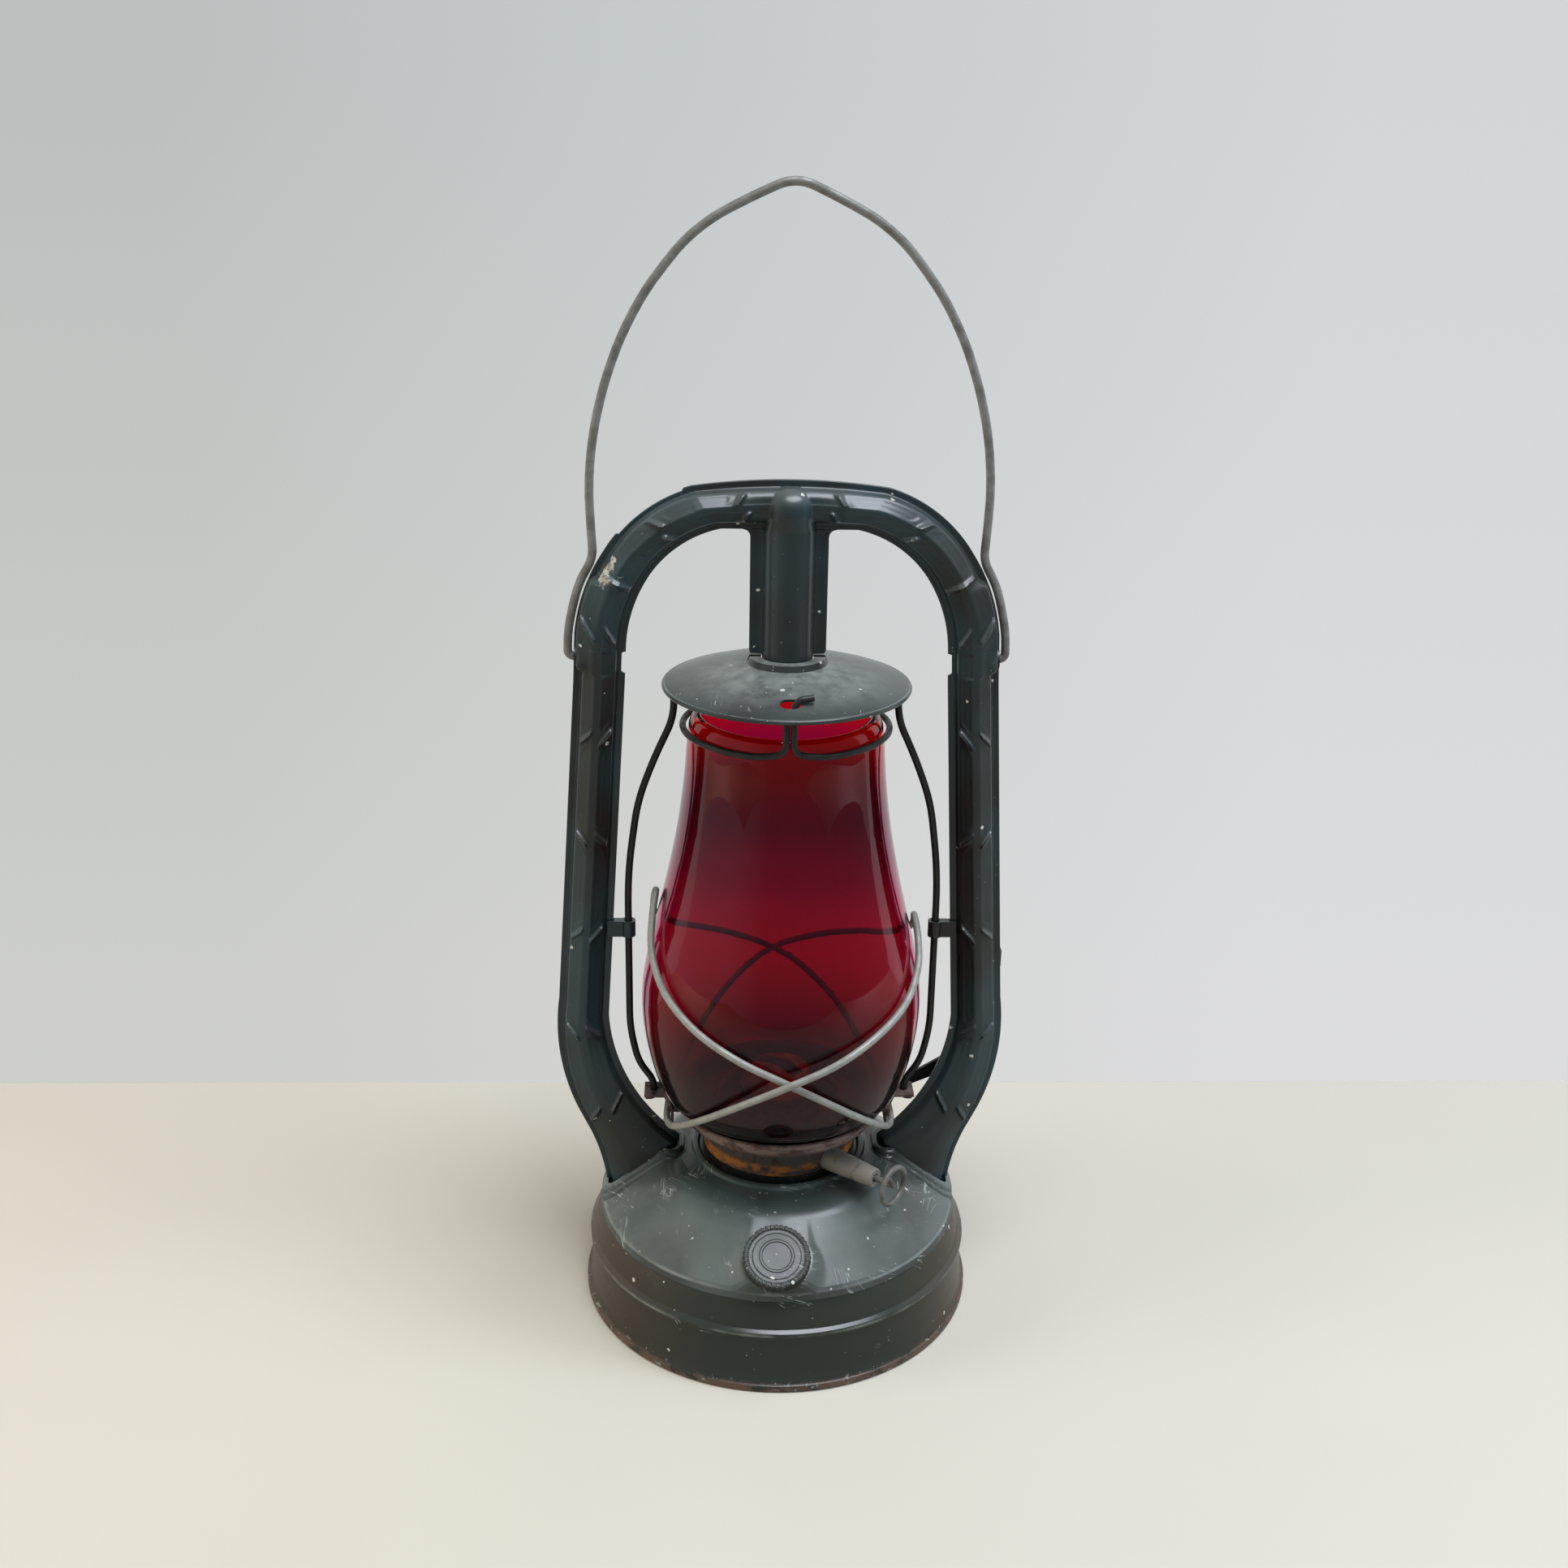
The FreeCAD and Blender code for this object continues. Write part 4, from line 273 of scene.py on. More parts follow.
def rusted_sheet(name, metal, rust, share, smooth=0.4, stained=None):
    """Tinplate whose coat has worn through: dark oxide, with matt rust in patches 3 to 6 mm wide.

    A stain is a colour and the two heights in millimetres between which it comes in.
    """
    material, tree, shader = fresh_material(name)
    tone = add(tree, "MixRGB", {"Fac": patches(tree, 2.4, 0.3, 0.7, 5.0, seed=8.8), "Color1": rust,
                                "Color2": tuple(part * 0.5 for part in rust)})
    eaten = patches(tree, 5.5, 0.62 - share * 0.4, 0.74 - share * 0.3, 7.0, seed=4.4)
    finish = laid_over(tree, (metal, smooth), (tone, 0.8), eaten)
    if stained:
        colour, start, full = stained
        finish = laid_over(tree, finish, (colour, 0.75), part_of(tree, "Z", start, full),
                           patches(tree, 9, 0.4, 0.56, 6.0, (1, 1, 0.5), seed=1.9))
    plug(tree, shader, {"Metallic": 0.25})
    finished(tree, shader, finish, patches(tree, 1.2, 0.2, 0.8, 6.0, seed=6.1), 0.08, 0.5)
    return material


def drawn_wire(name, metal, stain, metallic, smooth, rough):
    """Drawn steel wire, duller where hands and weather reach it."""
    material, tree, shader = fresh_material(name)
    finish = laid_over(tree, (metal, smooth), (stain, rough),
                       patches(tree, 6, 0.35, 0.7, 6.0, seed=2.6))
    plug(tree, shader, {"Metallic": metallic})
    finished(tree, shader, finish, patches(tree, 1.0, 0.2, 0.8, 5.0, seed=1.2), 0.05, 0.5)
    return material


def ruby_glass(name, tones):
    """Pressed ruby glass, smooth and clear. Its tone changes with height: painted shade darkens and
    browns the foot, and painted light makes the mouth bright red.
    """
    material, tree, shader = fresh_material(name)
    # Tone by height, with painted shade at the foot and painted light at the mouth
    tone_light_and_shade = add(tree, "ValToRGB", {"Fac": part_of(tree, "Z", GLASS_LOW, GLASS_HIGH)})
    ramp = tone_light_and_shade.color_ramp
    ramp.elements.remove(ramp.elements[1])
    for height, tone in tones:
        stop = ramp.elements.new((height - GLASS_LOW) / (GLASS_HIGH - GLASS_LOW))
        stop.color = (*linear(tone), 1.0)
    ramp.elements.remove(ramp.elements[0])
    # Ruby tints its reflections a little
    plug(tree, shader, {"Transmission Weight": 1.0, "IOR": 1.5, "Specular IOR Level": 0.4,
                        "Specular Tint": linear("#ffe8f0")})
    # Mould waves run down the glass, about 4 mm apart and 50 mm long
    finished(tree, shader, (tone_light_and_shade, 0.02), patches(tree, 4, 0.1, 0.9, 1.0, (1, 1, 13), seed=3.3),
             0.04, 0.3)
    return material


def spun_brass(name):
    """Brass pressed on a lathe, browned by heat."""
    material, tree, shader = fresh_material(name)
    finish = laid_over(tree, (linear("#b08d57"), 0.28), (linear("#5a4630"), 0.6),
                       patches(tree, 8, 0.35, 0.7, 6.0, seed=3.9))
    plug(tree, shader, {"Metallic": 1.0})
    finished(tree, shader, finish, patches(tree, 0.8, 0.2, 0.8, 3.0, (6, 6, 0.4)), 0.03, 0.5)
    return material


def ground_cork(name):
    """Pressed cork granules of one to two millimetres."""
    material, tree, shader = fresh_material(name)
    grains = patches(tree, 1.3, 0.4, 0.6, 3.0)
    finished(tree, shader,
             laid_over(tree, (linear("#8f6a45"), 0.9), (linear("#c09a6b"), 0.9), grains), grains,
             0.2, 1.0)
    return material


def woven_wick(name):
    """Flat cotton webbing with ribs 1 mm apart, charred at the top."""
    material, tree, shader = fresh_material(name)
    ribs = add(tree, "TexWave",
               {"Vector": place_of(tree), "Scale": 1000 / math.pi, "Distortion": 0.6},
               wave_type="BANDS", bands_direction="Z")
    cotton = laid_over(tree, (linear("#b9ab8e"), 0.95), (linear("#ddd2b8"), 0.95), ribs)
    finish = laid_over(tree, cotton, (linear("#1d1916"), 1.0), part_of(tree, "Z", 92.5, 94.5))
    finished(tree, shader, finish, ribs, 0.3, 1.0)
    return material


def lantern_materials(colours):
    """Every finish of the lantern, by name."""
    warm, dust, rust = colours.paint_warm, colours.dust, colours.rust
    return {
        "frame_paint": enamelled_tinplate(
            "Enamel, gloss, on tinplate", colours.paint, warm, dust, 0.32, 0.16, 0.8,
            bared=((-67, -6, 305), 9)),
        # Tank top: a painted highlight line runs round its shoulder
        "tank_paint": enamelled_tinplate(
            "Enamel, weathered, on tinplate", colours.tank, warm, dust, 0.28, 0.36, 1.1, 0.13,
            wiped=(62, 55), rubbed_highlight=40.6),
        "canopy_paint": enamelled_tinplate(
            "Enamel, heat dulled, on tinplate", colours.canopy, warm, dust, 0.34, 0.8, 1.2, 0.08,
            facing=(0.93, 0.995), cloud=6),
        # Skirt: painted brown reflection on its sides, and a painted highlight line along its bead
        "skirt_paint": enamelled_tinplate(
            "Enamel, skirt, on tinplate", colours.skirt, colours.skirt_side_reflection, dust, 0.2, 0.06, 0.8,
            0.06, rust, 0.3, rubbed_highlight=25, side_reflections=True),
        "cap_tin": enamelled_tinplate(
            "Enamel, pressed cap", colours.skirt, warm, dust, 0.48, 0.16, 1.2, 0.14, rust, 0.3,
            cloud=6),
        "bare_tin": rusted_sheet("Tinplate, dulled", linear("#8d8f8c"), rust, 0.2),
        "rusty_plate": rusted_sheet("Tinplate, rusted rim", linear("#45413d"), linear("#6b4f45"),
                                    0.5, stained=(linear("#7d6a62"), 80.4, 81.4)),
        "burner_tin": rusted_sheet("Tinplate, burner", linear("#3f3a37"), linear("#4d4038"), 0.5,
                                   stained=(colours.fresh_rust, 71.0, 69.2)),
        # Near-black collar, much darker than the burner above it
        "collar_tin": rusted_sheet("Tinplate, near black", linear("#191b1b"), linear("#2e2620"),
                                   0.3, 0.25),
        "sleeve_tin": rusted_sheet("Tinplate, dusty", linear("#86827a"), linear("#77716a"),
                                   0.3, 0.6),
        "brass": spun_brass("Brass, spun"),
        "cork": ground_cork("Cork, pressed"),
        "cotton": woven_wick("Cotton webbing"),
        "red_glass": ruby_glass("Glass, ruby, pressed", GLASS_TONES_AND_SHADING),
        "guard_zinc": drawn_wire("Steel wire, zinc coated", colours.zinc, linear("#83827a"),
                                 0.2, 0.42, 0.6),
        "dark_wire": drawn_wire("Steel wire, blackened", linear("#1b1e1e"), linear("#2b2a27"),
                                0.1, 0.3, 0.5),
        "bail_wire": drawn_wire("Steel wire, bare, oxidised", linear("#7c7c78"), linear("#625f59"),
                                0.2, 0.4, 0.6),
        "knob_wire": drawn_wire("Steel wire, dull", linear("#6d6b66"), linear("#504d47"),
                                0.2, 0.42, 0.65),
    }


# Heights in mm between which the glass changes its tone, and the tone at each height; the dark
# brown foot is painted shade and the bright red mouth painted light
GLASS_LOW, GLASS_HIGH = 80, 252
GLASS_TONES_AND_SHADING = [(82, "#241014"), (91, "#4a2414"), (104, "#803c26"), (122, "#b02a3c"),
               (150, "#cc1c66"), (172, "#c4145e"), (196, "#900f4c"), (218, "#7c0c46"),
               (230, "#a00a34"), (241, "#c40c1c"), (250, "#dc1010")]

MATERIALS = {}


def dress(piece, finish):
    """Give a piece its only material."""
    piece.data.materials.clear()
    piece.data.materials.append(MATERIALS[finish])


# ------------------------------------------------------------------ shapes

def placed(name, data):
    """Object of a mesh, lamp or camera, in the scene."""
    piece = bpy.data.objects.new(name, data)
    bpy.context.scene.collection.objects.link(piece)
    return piece


def mesh_piece(name, points, faces, sharp):
    """Mesh object in millimetres with smooth faces, and sharp edges above an angle in degrees."""
    mesh = bpy.data.meshes.new(name)
    mesh.from_pydata([Vector(point) * MM for point in points], [], faces)
    work = bmesh.new()
    work.from_mesh(mesh)
    bmesh.ops.remove_doubles(work, verts=work.verts, dist=1e-6)
    bmesh.ops.recalc_face_normals(work, faces=work.faces)
    work.to_mesh(mesh)
    work.free()
    mesh.shade_smooth()
    mesh.set_sharp_from_angle(angle=math.radians(sharp))
    return placed(name, mesh)


def skin(rows, columns, joined):
    """Faces over rings of points. The last ring is joined to the first, or both are closed."""
    faces = []
    for row in range(rows if joined else rows - 1):
        for column in range(columns):
            beyond, beside = (row + 1) % rows, (column + 1) % columns
            faces.append((row * columns + column, row * columns + beside,
                          beyond * columns + beside, beyond * columns + column))
    if not joined:
        faces += [tuple(range(columns)),
                  tuple(rows * columns - 1 - number for number in range(columns))]
    return faces


def rounded(corners):
    """Line through corners (x, z, radius), each rounded by a curve of its radius if it has one."""
    line = []
    count, steps = len(corners), 6
    for index, corner in enumerate(corners):
        spot = Vector(corner[:2])
        radius = corner[2] if len(corner) > 2 else 0
        if not radius:
            line.append(spot)
            continue
        back = Vector(corners[index - 1][:2]) - spot
        ahead = Vector(corners[(index + 1) % count][:2]) - spot
        angle = back.angle(ahead)
        cut = min(radius / math.tan(angle / 2), 0.49 * back.length, 0.49 * ahead.length)
        start, finish = spot + back.normalized() * cut, spot + ahead.normalized() * cut
        for step in range(steps + 1):
            share = step / steps
            line.append(start * (1 - share) ** 2 + spot * 2 * share * (1 - share)
                        + finish * share ** 2)
    return line


def lathe(name, corners, steps, sharp, reshape=None):
    """Closed ring section of (radius, height, rounding) turned about the upright axis."""
    section = rounded(corners)
    points = []
    for step in range(steps):
        turn = 2 * math.pi * step / steps
        for spot in section:
            point = Vector((spot.x * math.cos(turn), spot.x * math.sin(turn), spot.y))
            points.append(reshape(point) if reshape else point)
    return mesh_piece(name, points, skin(steps, len(section), True), sharp)


def smooth_step(low, high, value):
    """Share that rises smoothly from 0 to 1 between two values."""
    share = min(max((value - low) / (high - low), 0.0), 1.0)
    return share * share * (3 - 2 * share)


def soft_max(first, second, room):
    """The larger of two heights, with a fillet of about a room between them."""
    gap = max(room - abs(first - second), 0.0) / room
    return max(first, second) + gap * gap * room / 4


def wire_ring(name, points, radius):
    """Closed round wire through points in millimetres."""
    curve = bpy.data.curves.new(name, "CURVE")
    curve.dimensions = "3D"
    curve.bevel_depth = radius * MM
    curve.bevel_resolution = 5
    spline = curve.splines.new("POLY")
    spline.points.add(len(points) - 1)
    for spot, point in zip(spline.points, points):
        spot.co = (*(Vector(point) * MM), 1.0)
    spline.use_cyclic_u = True
    guide = bpy.data.objects.new("guide", curve)
    mesh = bpy.data.meshes.new_from_object(guide)
    bpy.data.objects.remove(guide)
    bpy.data.curves.remove(curve)
    mesh.shade_smooth()
    return placed(name, mesh)


def through(points, steps, closed=False):
    """Smooth line through points (Catmull-Rom)."""
    count = len(points)
    line = []
    for index in range(count if closed else count - 1):
        around = range(index - 1, index + 3)
        if closed:
            around = [number % count for number in around]
        p0, p1, p2, p3 = (Vector(points[min(max(number, 0), count - 1)]) for number in around)
        for step in range(steps):
            t = step / steps
            line.append(0.5 * (2 * p1 + (p2 - p0) * t
                               + (2 * p0 - 5 * p1 + 4 * p2 - p3) * t ** 2
                               + (3 * p1 - p0 - 3 * p2 + p3) * t ** 3))
    if not closed:
        line.append(Vector(points[-1]))
    return line


# ------------------------------------------------------------------ frame

# Right half of the frame's edges in mm: x, z and the radius of the arc that ends there
OUTER_EDGE = [(71.4, 38), (71.4, 46), (77.5, 68.5, -84), (82.5, 79.3), (88.9, 130, 95), (80.1, 262),
              (79.2, 281), (67.9, 312, 70), (36, 336.2, 56), (0, 338.8, 250)]
INNER_EDGE = [(41, 58), (41, 66.4), (69.2, 122, 75), (60.8, 262), (60.2, 275), (51, 303.3, 54),
              (25, 320.6, 42.5), (0, 320.6)]
# Points of the two edges that lie across the tube from each other
ACROSS = [((71.4, 42.0), (41, 62.6)), ((77.5, 68.5), (56.3, 83.3)), ((82.5, 79.3), (61.5, 91)),
          ((88.9, 103), (66.5, 104.5)), ((88.9, 130), (68.9, 128)), ((80.1, 262), (60.8, 262)),
          ((79.2, 281), (60.2, 276)), ((67.9, 312), (51, 303.3)), ((36, 336.2), (25, 320.6)),
          ((0, 338.8), (0, 320.6))]
FLANGE = 2.6
FLANGE_THICK = 0.7
WALL_DEPTH = 4.5
WALL_RUN = 0.96
CREST_DEPTH = 8.4
# Step along the tube, distance from the axis beyond which there are only the side tubes, and angle
# in degrees from which the frame's edges are sharp
PITCH = 0.5
SIDE_TUBES = 55
FRAME_SHARP = 50
# Cross ribs on the right tube: middle of the tube (x, z), fall towards the inside, and whether
# a rib crosses the crest
CROSS_RIBS = [(68.5, 83.5, -5, False), (79.4, 118, 6, False), (76.9, 161, -6, False),
              (74.4, 201, 6, False), (71.6, 242, -6, False), (69.3, 282.5, 7, False),
              (63.5, 302, 2, True), (47, 322, -3, False), (17.3, 330.5, 4, False)]


def walk(line):
    """Distance walked along a line to each of its points."""
    walked = [0.0]
    for before, after in zip(line, line[1:]):
        walked.append(walked[-1] + (after - before).length)
    return walked


def edge_line(corners):
    """Dense line along an edge, with the distance walked to each point."""
    line = [Vector(corners[0][:2])]
    for index in range(1, len(corners)):
        start, finish = Vector(corners[index - 1][:2]), Vector(corners[index][:2])
        chord = finish - start
        radius = corners[index][2] if len(corners[index]) > 2 else 0
        steps = max(int(chord.length / PITCH), 1)
        if radius:
            side = Vector((-chord.y, chord.x)).normalized() * math.copysign(1, radius)
            middle = (start + finish) / 2 + side * math.sqrt(radius ** 2 - (chord.length / 2) ** 2)
            turn = math.copysign(2 * math.asin(chord.length / 2 / abs(radius)), radius)
        for step in range(1, steps + 1):
            if radius:
                line.append(middle + Matrix.Rotation(turn * step / steps, 2) @ (start - middle))
            else:
                line.append(start + chord * step / steps)
    return line, walk(line)


def walked_to(edge, spot):
    """Distance walked along an edge to the point nearest to a spot."""
    line, walked = edge
    nearest = min(range(len(line)), key=lambda index: (line[index] - Vector(spot)).length)
    return walked[nearest]


def point_at(edge, distance):
    """Point of an edge at a distance walked along it."""
    line, walked = edge
    low = min(max(bisect.bisect(walked, distance), 1), len(walked) - 1) - 1
    share = (distance - walked[low]) / max(walked[low + 1] - walked[low], 1e-9)
    return line[low].lerp(line[low + 1], min(max(share, 0), 1))


def tube_stations():
    """Pairs of outer and inner edge points from the right foot to the left foot."""
    outer, inner = edge_line(OUTER_EDGE), edge_line(INNER_EDGE)
    keys = [(walked_to(outer, out), walked_to(inner, inn)) for out, inn in ACROSS]
    right = []
    for (out_a, in_a), (out_b, in_b) in zip(keys, keys[1:]):
        steps = max(round((out_b - out_a + in_b - in_a) / 2 / PITCH), 1)
        for step in range(steps):
            share = step / steps
            right.append((point_at(outer, out_a + (out_b - out_a) * share),
                          point_at(inner, in_a + (in_b - in_a) * share)))
    top = tuple(Vector(edge) for edge in ACROSS[-1])
    left = [(Vector((-out.x, out.y)), Vector((-inn.x, inn.y))) for out, inn in reversed(right)]
    return right + [top] + left


def head_height(x, z):
    """Height of the centre tube's thumb-shaped head over the seam plane."""
    widening = 1 - smooth_step(320.0, 327.0, z)
    reach, rise, blunt = 8.7 + 0.7 * widening, 10.9 - 1.5 * widening, 2.4 - 0.4 * widening
    rest = 1 - abs(x / reach) ** blunt - (max(z - 328.0, 0) / 8.4) ** blunt
    return rise * rest ** (1 / blunt) if rest > 0 else 0.0


def tube_section(outer_flange, inner_flange, width, crest_half):
    """Points across the tube: distance from the outer edge, height, side and share of its panel."""
    half = []
    for flange, side in ((outer_flange, 0), (inner_flange, 1)):
        foot = flange + WALL_RUN
        crest = width / 2 - crest_half
        thick = FLANGE_THICK if flange > 1 else 0.5
        points = [(0.0, 0.0), (0.0, thick * 0.6), (0.12, thick * 0.93), (0.3, thick)]
        points += [
            (flange * 0.55, thick), (flange - 0.3, thick), (flange, thick + 0.12),
            (flange + 0.22, thick + 0.6), (flange + 0.5, 2.2), (foot - 0.2, WALL_DEPTH - 0.75),
            (foot, WALL_DEPTH - 0.1), (foot + 0.3, WALL_DEPTH + 0.3)]
        for step in range(1, 12):
            share = step / 12
            # The panels are a little hollow between the wall and the crest
            height = WALL_DEPTH + (CREST_DEPTH - WALL_DEPTH) * share
            height += 0.35 * math.sin(math.pi * share)
            points.append((foot + (crest - foot) * share, height))
        points += [(crest - 0.25, CREST_DEPTH - 0.12), (crest + 0.12, CREST_DEPTH - 0.02)]
        for index, (inset, height) in enumerate(points):
            share = (inset - foot) / max(crest - foot, 0.1)
            points[index] = (inset if side == 0 else width - inset, height, side, share)
        half.append(points)
    return half[0] + [(width / 2, CREST_DEPTH, 0, 1.2)] + list(reversed(half[1]))


def ribs_along(stations):
    """Distances walked to the stations, and to each rib with its fall and whether it crosses."""
    middles = [(out + inn) / 2 for out, inn in stations]
    walked = walk(middles)
    ribs = []
    for x, z, fall, crossing in CROSS_RIBS:
        near = min(range(len(stations) // 2 + 1),
                   key=lambda index: (middles[index] - Vector((x, z))).length)
        ribs.append((walked[near], fall, crossing))
    return walked, sorted(ribs)


def pressed(distance, side, share, ribs, rise, sunk):
    """Relief of the ribs and the sunk panels at a distance from the nearer foot."""
    # Each panel's rib falls from its upper to its lower corner
    lean = 0.5 - share if side == 0 else share - 0.5
    relief = 0.0
    for spot, fall, crossing in ribs:
        if abs(distance - spot) < 9:
            tilt, ends = lean, 1 - smooth_step(0.82, 1.02, share)
            if crossing:
                tilt, ends = 0.6 * (0.5 - share / 2) * (1 - 2 * side), 1
            off = distance - spot - fall * tilt
            ends *= smooth_step(-0.1, 0.15, share)
            relief = max(relief, rise * math.exp(-(off / 0.95) ** 2) * ends)
    for (low, fall_low, _), (high, fall_high, _) in zip(ribs, ribs[1:]):
        if high - low > 15 and low < distance + 6 and high > distance - 6:
            # Rounded panel: how far inside its border a point is
            up = distance - low - fall_low * lean - 3.6
            down = high + fall_high * lean - distance - 3.6
            across = min(share - 0.12, 0.9 - share) * 5.5
            inside = min(up, down, across)
            if 0 < up < 2 or 0 < down < 2:
                corner = Vector((2 - min(up, down, 2), 2 - min(across, 2)))
                inside = min(inside, 2 - corner.length)
            relief -= sunk * smooth_step(0, 1.2, inside)
    return relief


def frame_half(name, front, sizes):
    """One pressed half of the frame: the arched tube with its ribs and the centre tube's head."""
    stations = tube_stations()
    walked, ribs = ribs_along(stations)
    total = walked[-1]
    foot_rib = ribs[0][0]
    points = []
    for index, (out, inn) in enumerate(stations):
        mid = (out + inn) / 2
        z, side_x = mid.y, abs(mid.x)
        outer_flange = inner_flange = FLANGE
        if side_x > SIDE_TUBES:
            # At the hips the outer flange is pressed shut, and the inner one gives way to the bail
            hip = smooth_step(266.5, 268.5, z) * (1 - smooth_step(297, 300.5, z))
            outer_flange += (0.28 - FLANGE) * hip
            inner_flange -= 1.5 * smooth_step(266, 266.8, z) * (1 - smooth_step(275.2, 276, z))
            inn = inn + (out - inn).normalized() * (FLANGE - inner_flange)
        elif mid.x < 0 and 33 < side_x < 62:
            # The left shoulder's flange was pressed shut narrower
            outer_flange -= 0.9 * smooth_step(33, 34, side_x)
            out = out + (inn - out).normalized() * (FLANGE - outer_flange)
        width = (out - inn).length
        along = min(walked[index], total - walked[index])
        crest_half = sizes.crest / MM + 3.6 * (1 - smooth_step(0, foot_rib, along))
        section = tube_section(outer_flange, inner_flange, width, crest_half)
        for distance, height, side, share in section:
            spot = out.lerp(inn, distance / width)
            if share > 0:
                height += pressed(along, side, share, ribs, sizes.rib / MM, sizes.sunk / MM)
                if side_x > SIDE_TUBES and side == 0:
                    # Swollen seat of the bail's eyelet
                    height += 1.5 * math.exp(-((z - 269) / 3.2) ** 2 - ((share - 0.15) / 0.35) ** 2)
                beside = abs(spot.x)
                if beside < 27:
                    # The crest fades towards the head
                    height -= 1.5 * (1 - smooth_step(9, 26, beside)) * smooth_step(0.2, 1.0, share)
            if abs(spot.x) < 14 and height > 0.3:
                height = soft_max(height, head_height(spot.x, spot.y), 0.9)
            points.append((spot.x, height, spot.y))
    sign = -1 if front else 1
    points = [(x, sign * height, z) for x, height, z in points]
    faces = skin(len(stations), len(points) // len(stations), False)
    return mesh_piece(name, points, faces, FRAME_SHARP)


# Centre tube in mm: radius, edge of its flanges, and where these begin, run straight and spread
LEG_RADIUS = 9.4
LEG_EDGE = 14.4
LEG_FOOT, LEG_STRAIGHT, LEG_SPREAD = 273.6, 275, 317.6


def centre_leg(name, front):
    """Half of the centre tube between its flanges, from the canopy up to the arch."""
    rows = [261, 264, 267, 270, 273, 273.5, 273.8, 274.2, 275]
    rows += [275 + step * 1.4 for step in range(1, 31)] + [317.6, 318.4, 319.1, 319.7, 320.2, 320.6]
    points = []
    for z in rows:
        reach = LEG_EDGE
        if z < LEG_FOOT:
            reach = 9.9
        elif z < LEG_STRAIGHT:
            reach -= 1.5 - 1.5 * math.sqrt(max(1 - ((LEG_STRAIGHT - z) / 1.4) ** 2, 0))
        elif z > LEG_SPREAD:
            reach += 3 - math.sqrt(max(9 - (z - LEG_SPREAD) ** 2, 0))
        thick = FLANGE_THICK if reach > 10 else 0.3
        side = [(reach, 0.0), (reach, thick * 0.6), (reach - 0.12, thick * 0.93),
                (reach - 0.3, thick), ((reach + 10.6) / 2, thick), (max(10.5, reach - 3.9), thick)]
        if reach < 10:
            side = [(9.55, 0.0), (9.5, 0.1), (9.48, 0.2), (9.46, 0.3), (9.45, 0.4), (9.44, 0.5)]
        arc = []
        for step in range(15):
            turn = math.radians(6 + 84 * step / 14)
            # Small fillet at the flange
            swell = 0.4 * (1 - step / 3) if step < 3 and reach > 10 else 0
            arc.append((LEG_RADIUS * math.cos(turn) + swell, LEG_RADIUS * math.sin(turn)))
        whole = side + arc
        whole += [(-x, y) for x, y in reversed(whole[:-1])]
        sign = -1 if front else 1
        points += [(x, sign * y, z) for x, y in whole]
    return mesh_piece(name, points, skin(len(rows), len(points) // len(rows), False), FRAME_SHARP)


class LANTERN_OT_frame(bpy.types.Operator):
    """Press the two halves of the tubular frame"""

    bl_idname = "lantern.frame"
    bl_label = "Tubular frame"

    def execute(self, context):
        for node, front in (("frame_front", True), ("frame_back", False)):
            half = frame_half(f"{node}_pressing", front, context.scene.lantern_sizes)
            leg = centre_leg(f"{node}_centre_leg", front)
            for piece in (half, leg):
                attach(piece, "frame")
                dress(piece, "frame_paint")
            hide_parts(node)
        return {"FINISHED"}


# ------------------------------------------------------------------ globe

GLOBE_FOOT = 80.7
GLOBE_WALL = 2.4
GLOBE_OUTSIDE = [
    (37.6, 80.7), (38.1, 83.5), (38.7, 86.0), (40.2, 87.9), (43.0, 89.0), (45.6, 90.3),
    (47.6, 92.4), (49.2, 95.6), (50.9, 100), (53.6, 110), (55.3, 120), (55.9, 129.5), (55.5, 138),
    (54.5, 145), (52.3, 156), (49.9, 165.5), (45.3, 185), (41.4, 205), (38.8, 225), (37.4, 243),
    (36.6, 247.2), (35.4, 249.6)]


def globe_radius(height):
    """Outside radius of the globe at a height."""
    for (low_r, low_z), (high_r, high_z) in zip(GLOBE_OUTSIDE, GLOBE_OUTSIDE[1:]):
        if low_z <= height <= high_z:
            return low_r + (high_r - low_r) * (height - low_z) / (high_z - low_z)
    return GLOBE_OUTSIDE[-1][0]


class LANTERN_OT_globe(bpy.types.Operator):
    """Blow the red glass globe as one smooth wall"""

    bl_idname = "lantern.globe"
    bl_label = "Globe"

    def execute(self, context):
        outside = through([(r, z, 0) for r, z in GLOBE_OUTSIDE], 5)
        inside = []
        for index, spot in enumerate(outside):
            ahead = outside[min(index + 1, len(outside) - 1)] - outside[max(index - 1, 0)]
            normal = Vector((ahead.y, -ahead.x, 0)).normalized()
            inside.append(spot - normal * GLOBE_WALL)
        section = [(spot.x, spot.y) for spot in outside]
        section += [(34.4, 250.7), (33.3, 250.9), (32.4, 250.6), (31.9, 249.9)]
        section += [(spot.x, max(spot.y, GLOBE_FOOT)) for spot in reversed(inside[2:])]
        section += [(35.2, GLOBE_FOOT)]
        globe = lathe("globe_glass", section, 200, 60)
        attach(globe, "carriage")
        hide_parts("globe")
        dress(globe, "red_glass")
        return {"FINISHED"}


GUARD_WIRE = 1.4
# Angle round the globe in degrees and height in mm of the hoops, from the side over the front
GUARD_FOOT = [(0, 76.6), (18, 79.6), (36, 87.7), (58, 101.8), (76, 114.8), (90, 123.6)]
GUARD_LEFT = GUARD_FOOT + [
    (108, 131), (126, 137.6), (144, 144), (160, 152), (171, 159.8), (180, 166)]
GUARD_RIGHT = GUARD_FOOT + [
    (108, 132), (126, 139.9), (144, 148.6), (160, 158.6), (171, 169), (180, 176.5)]


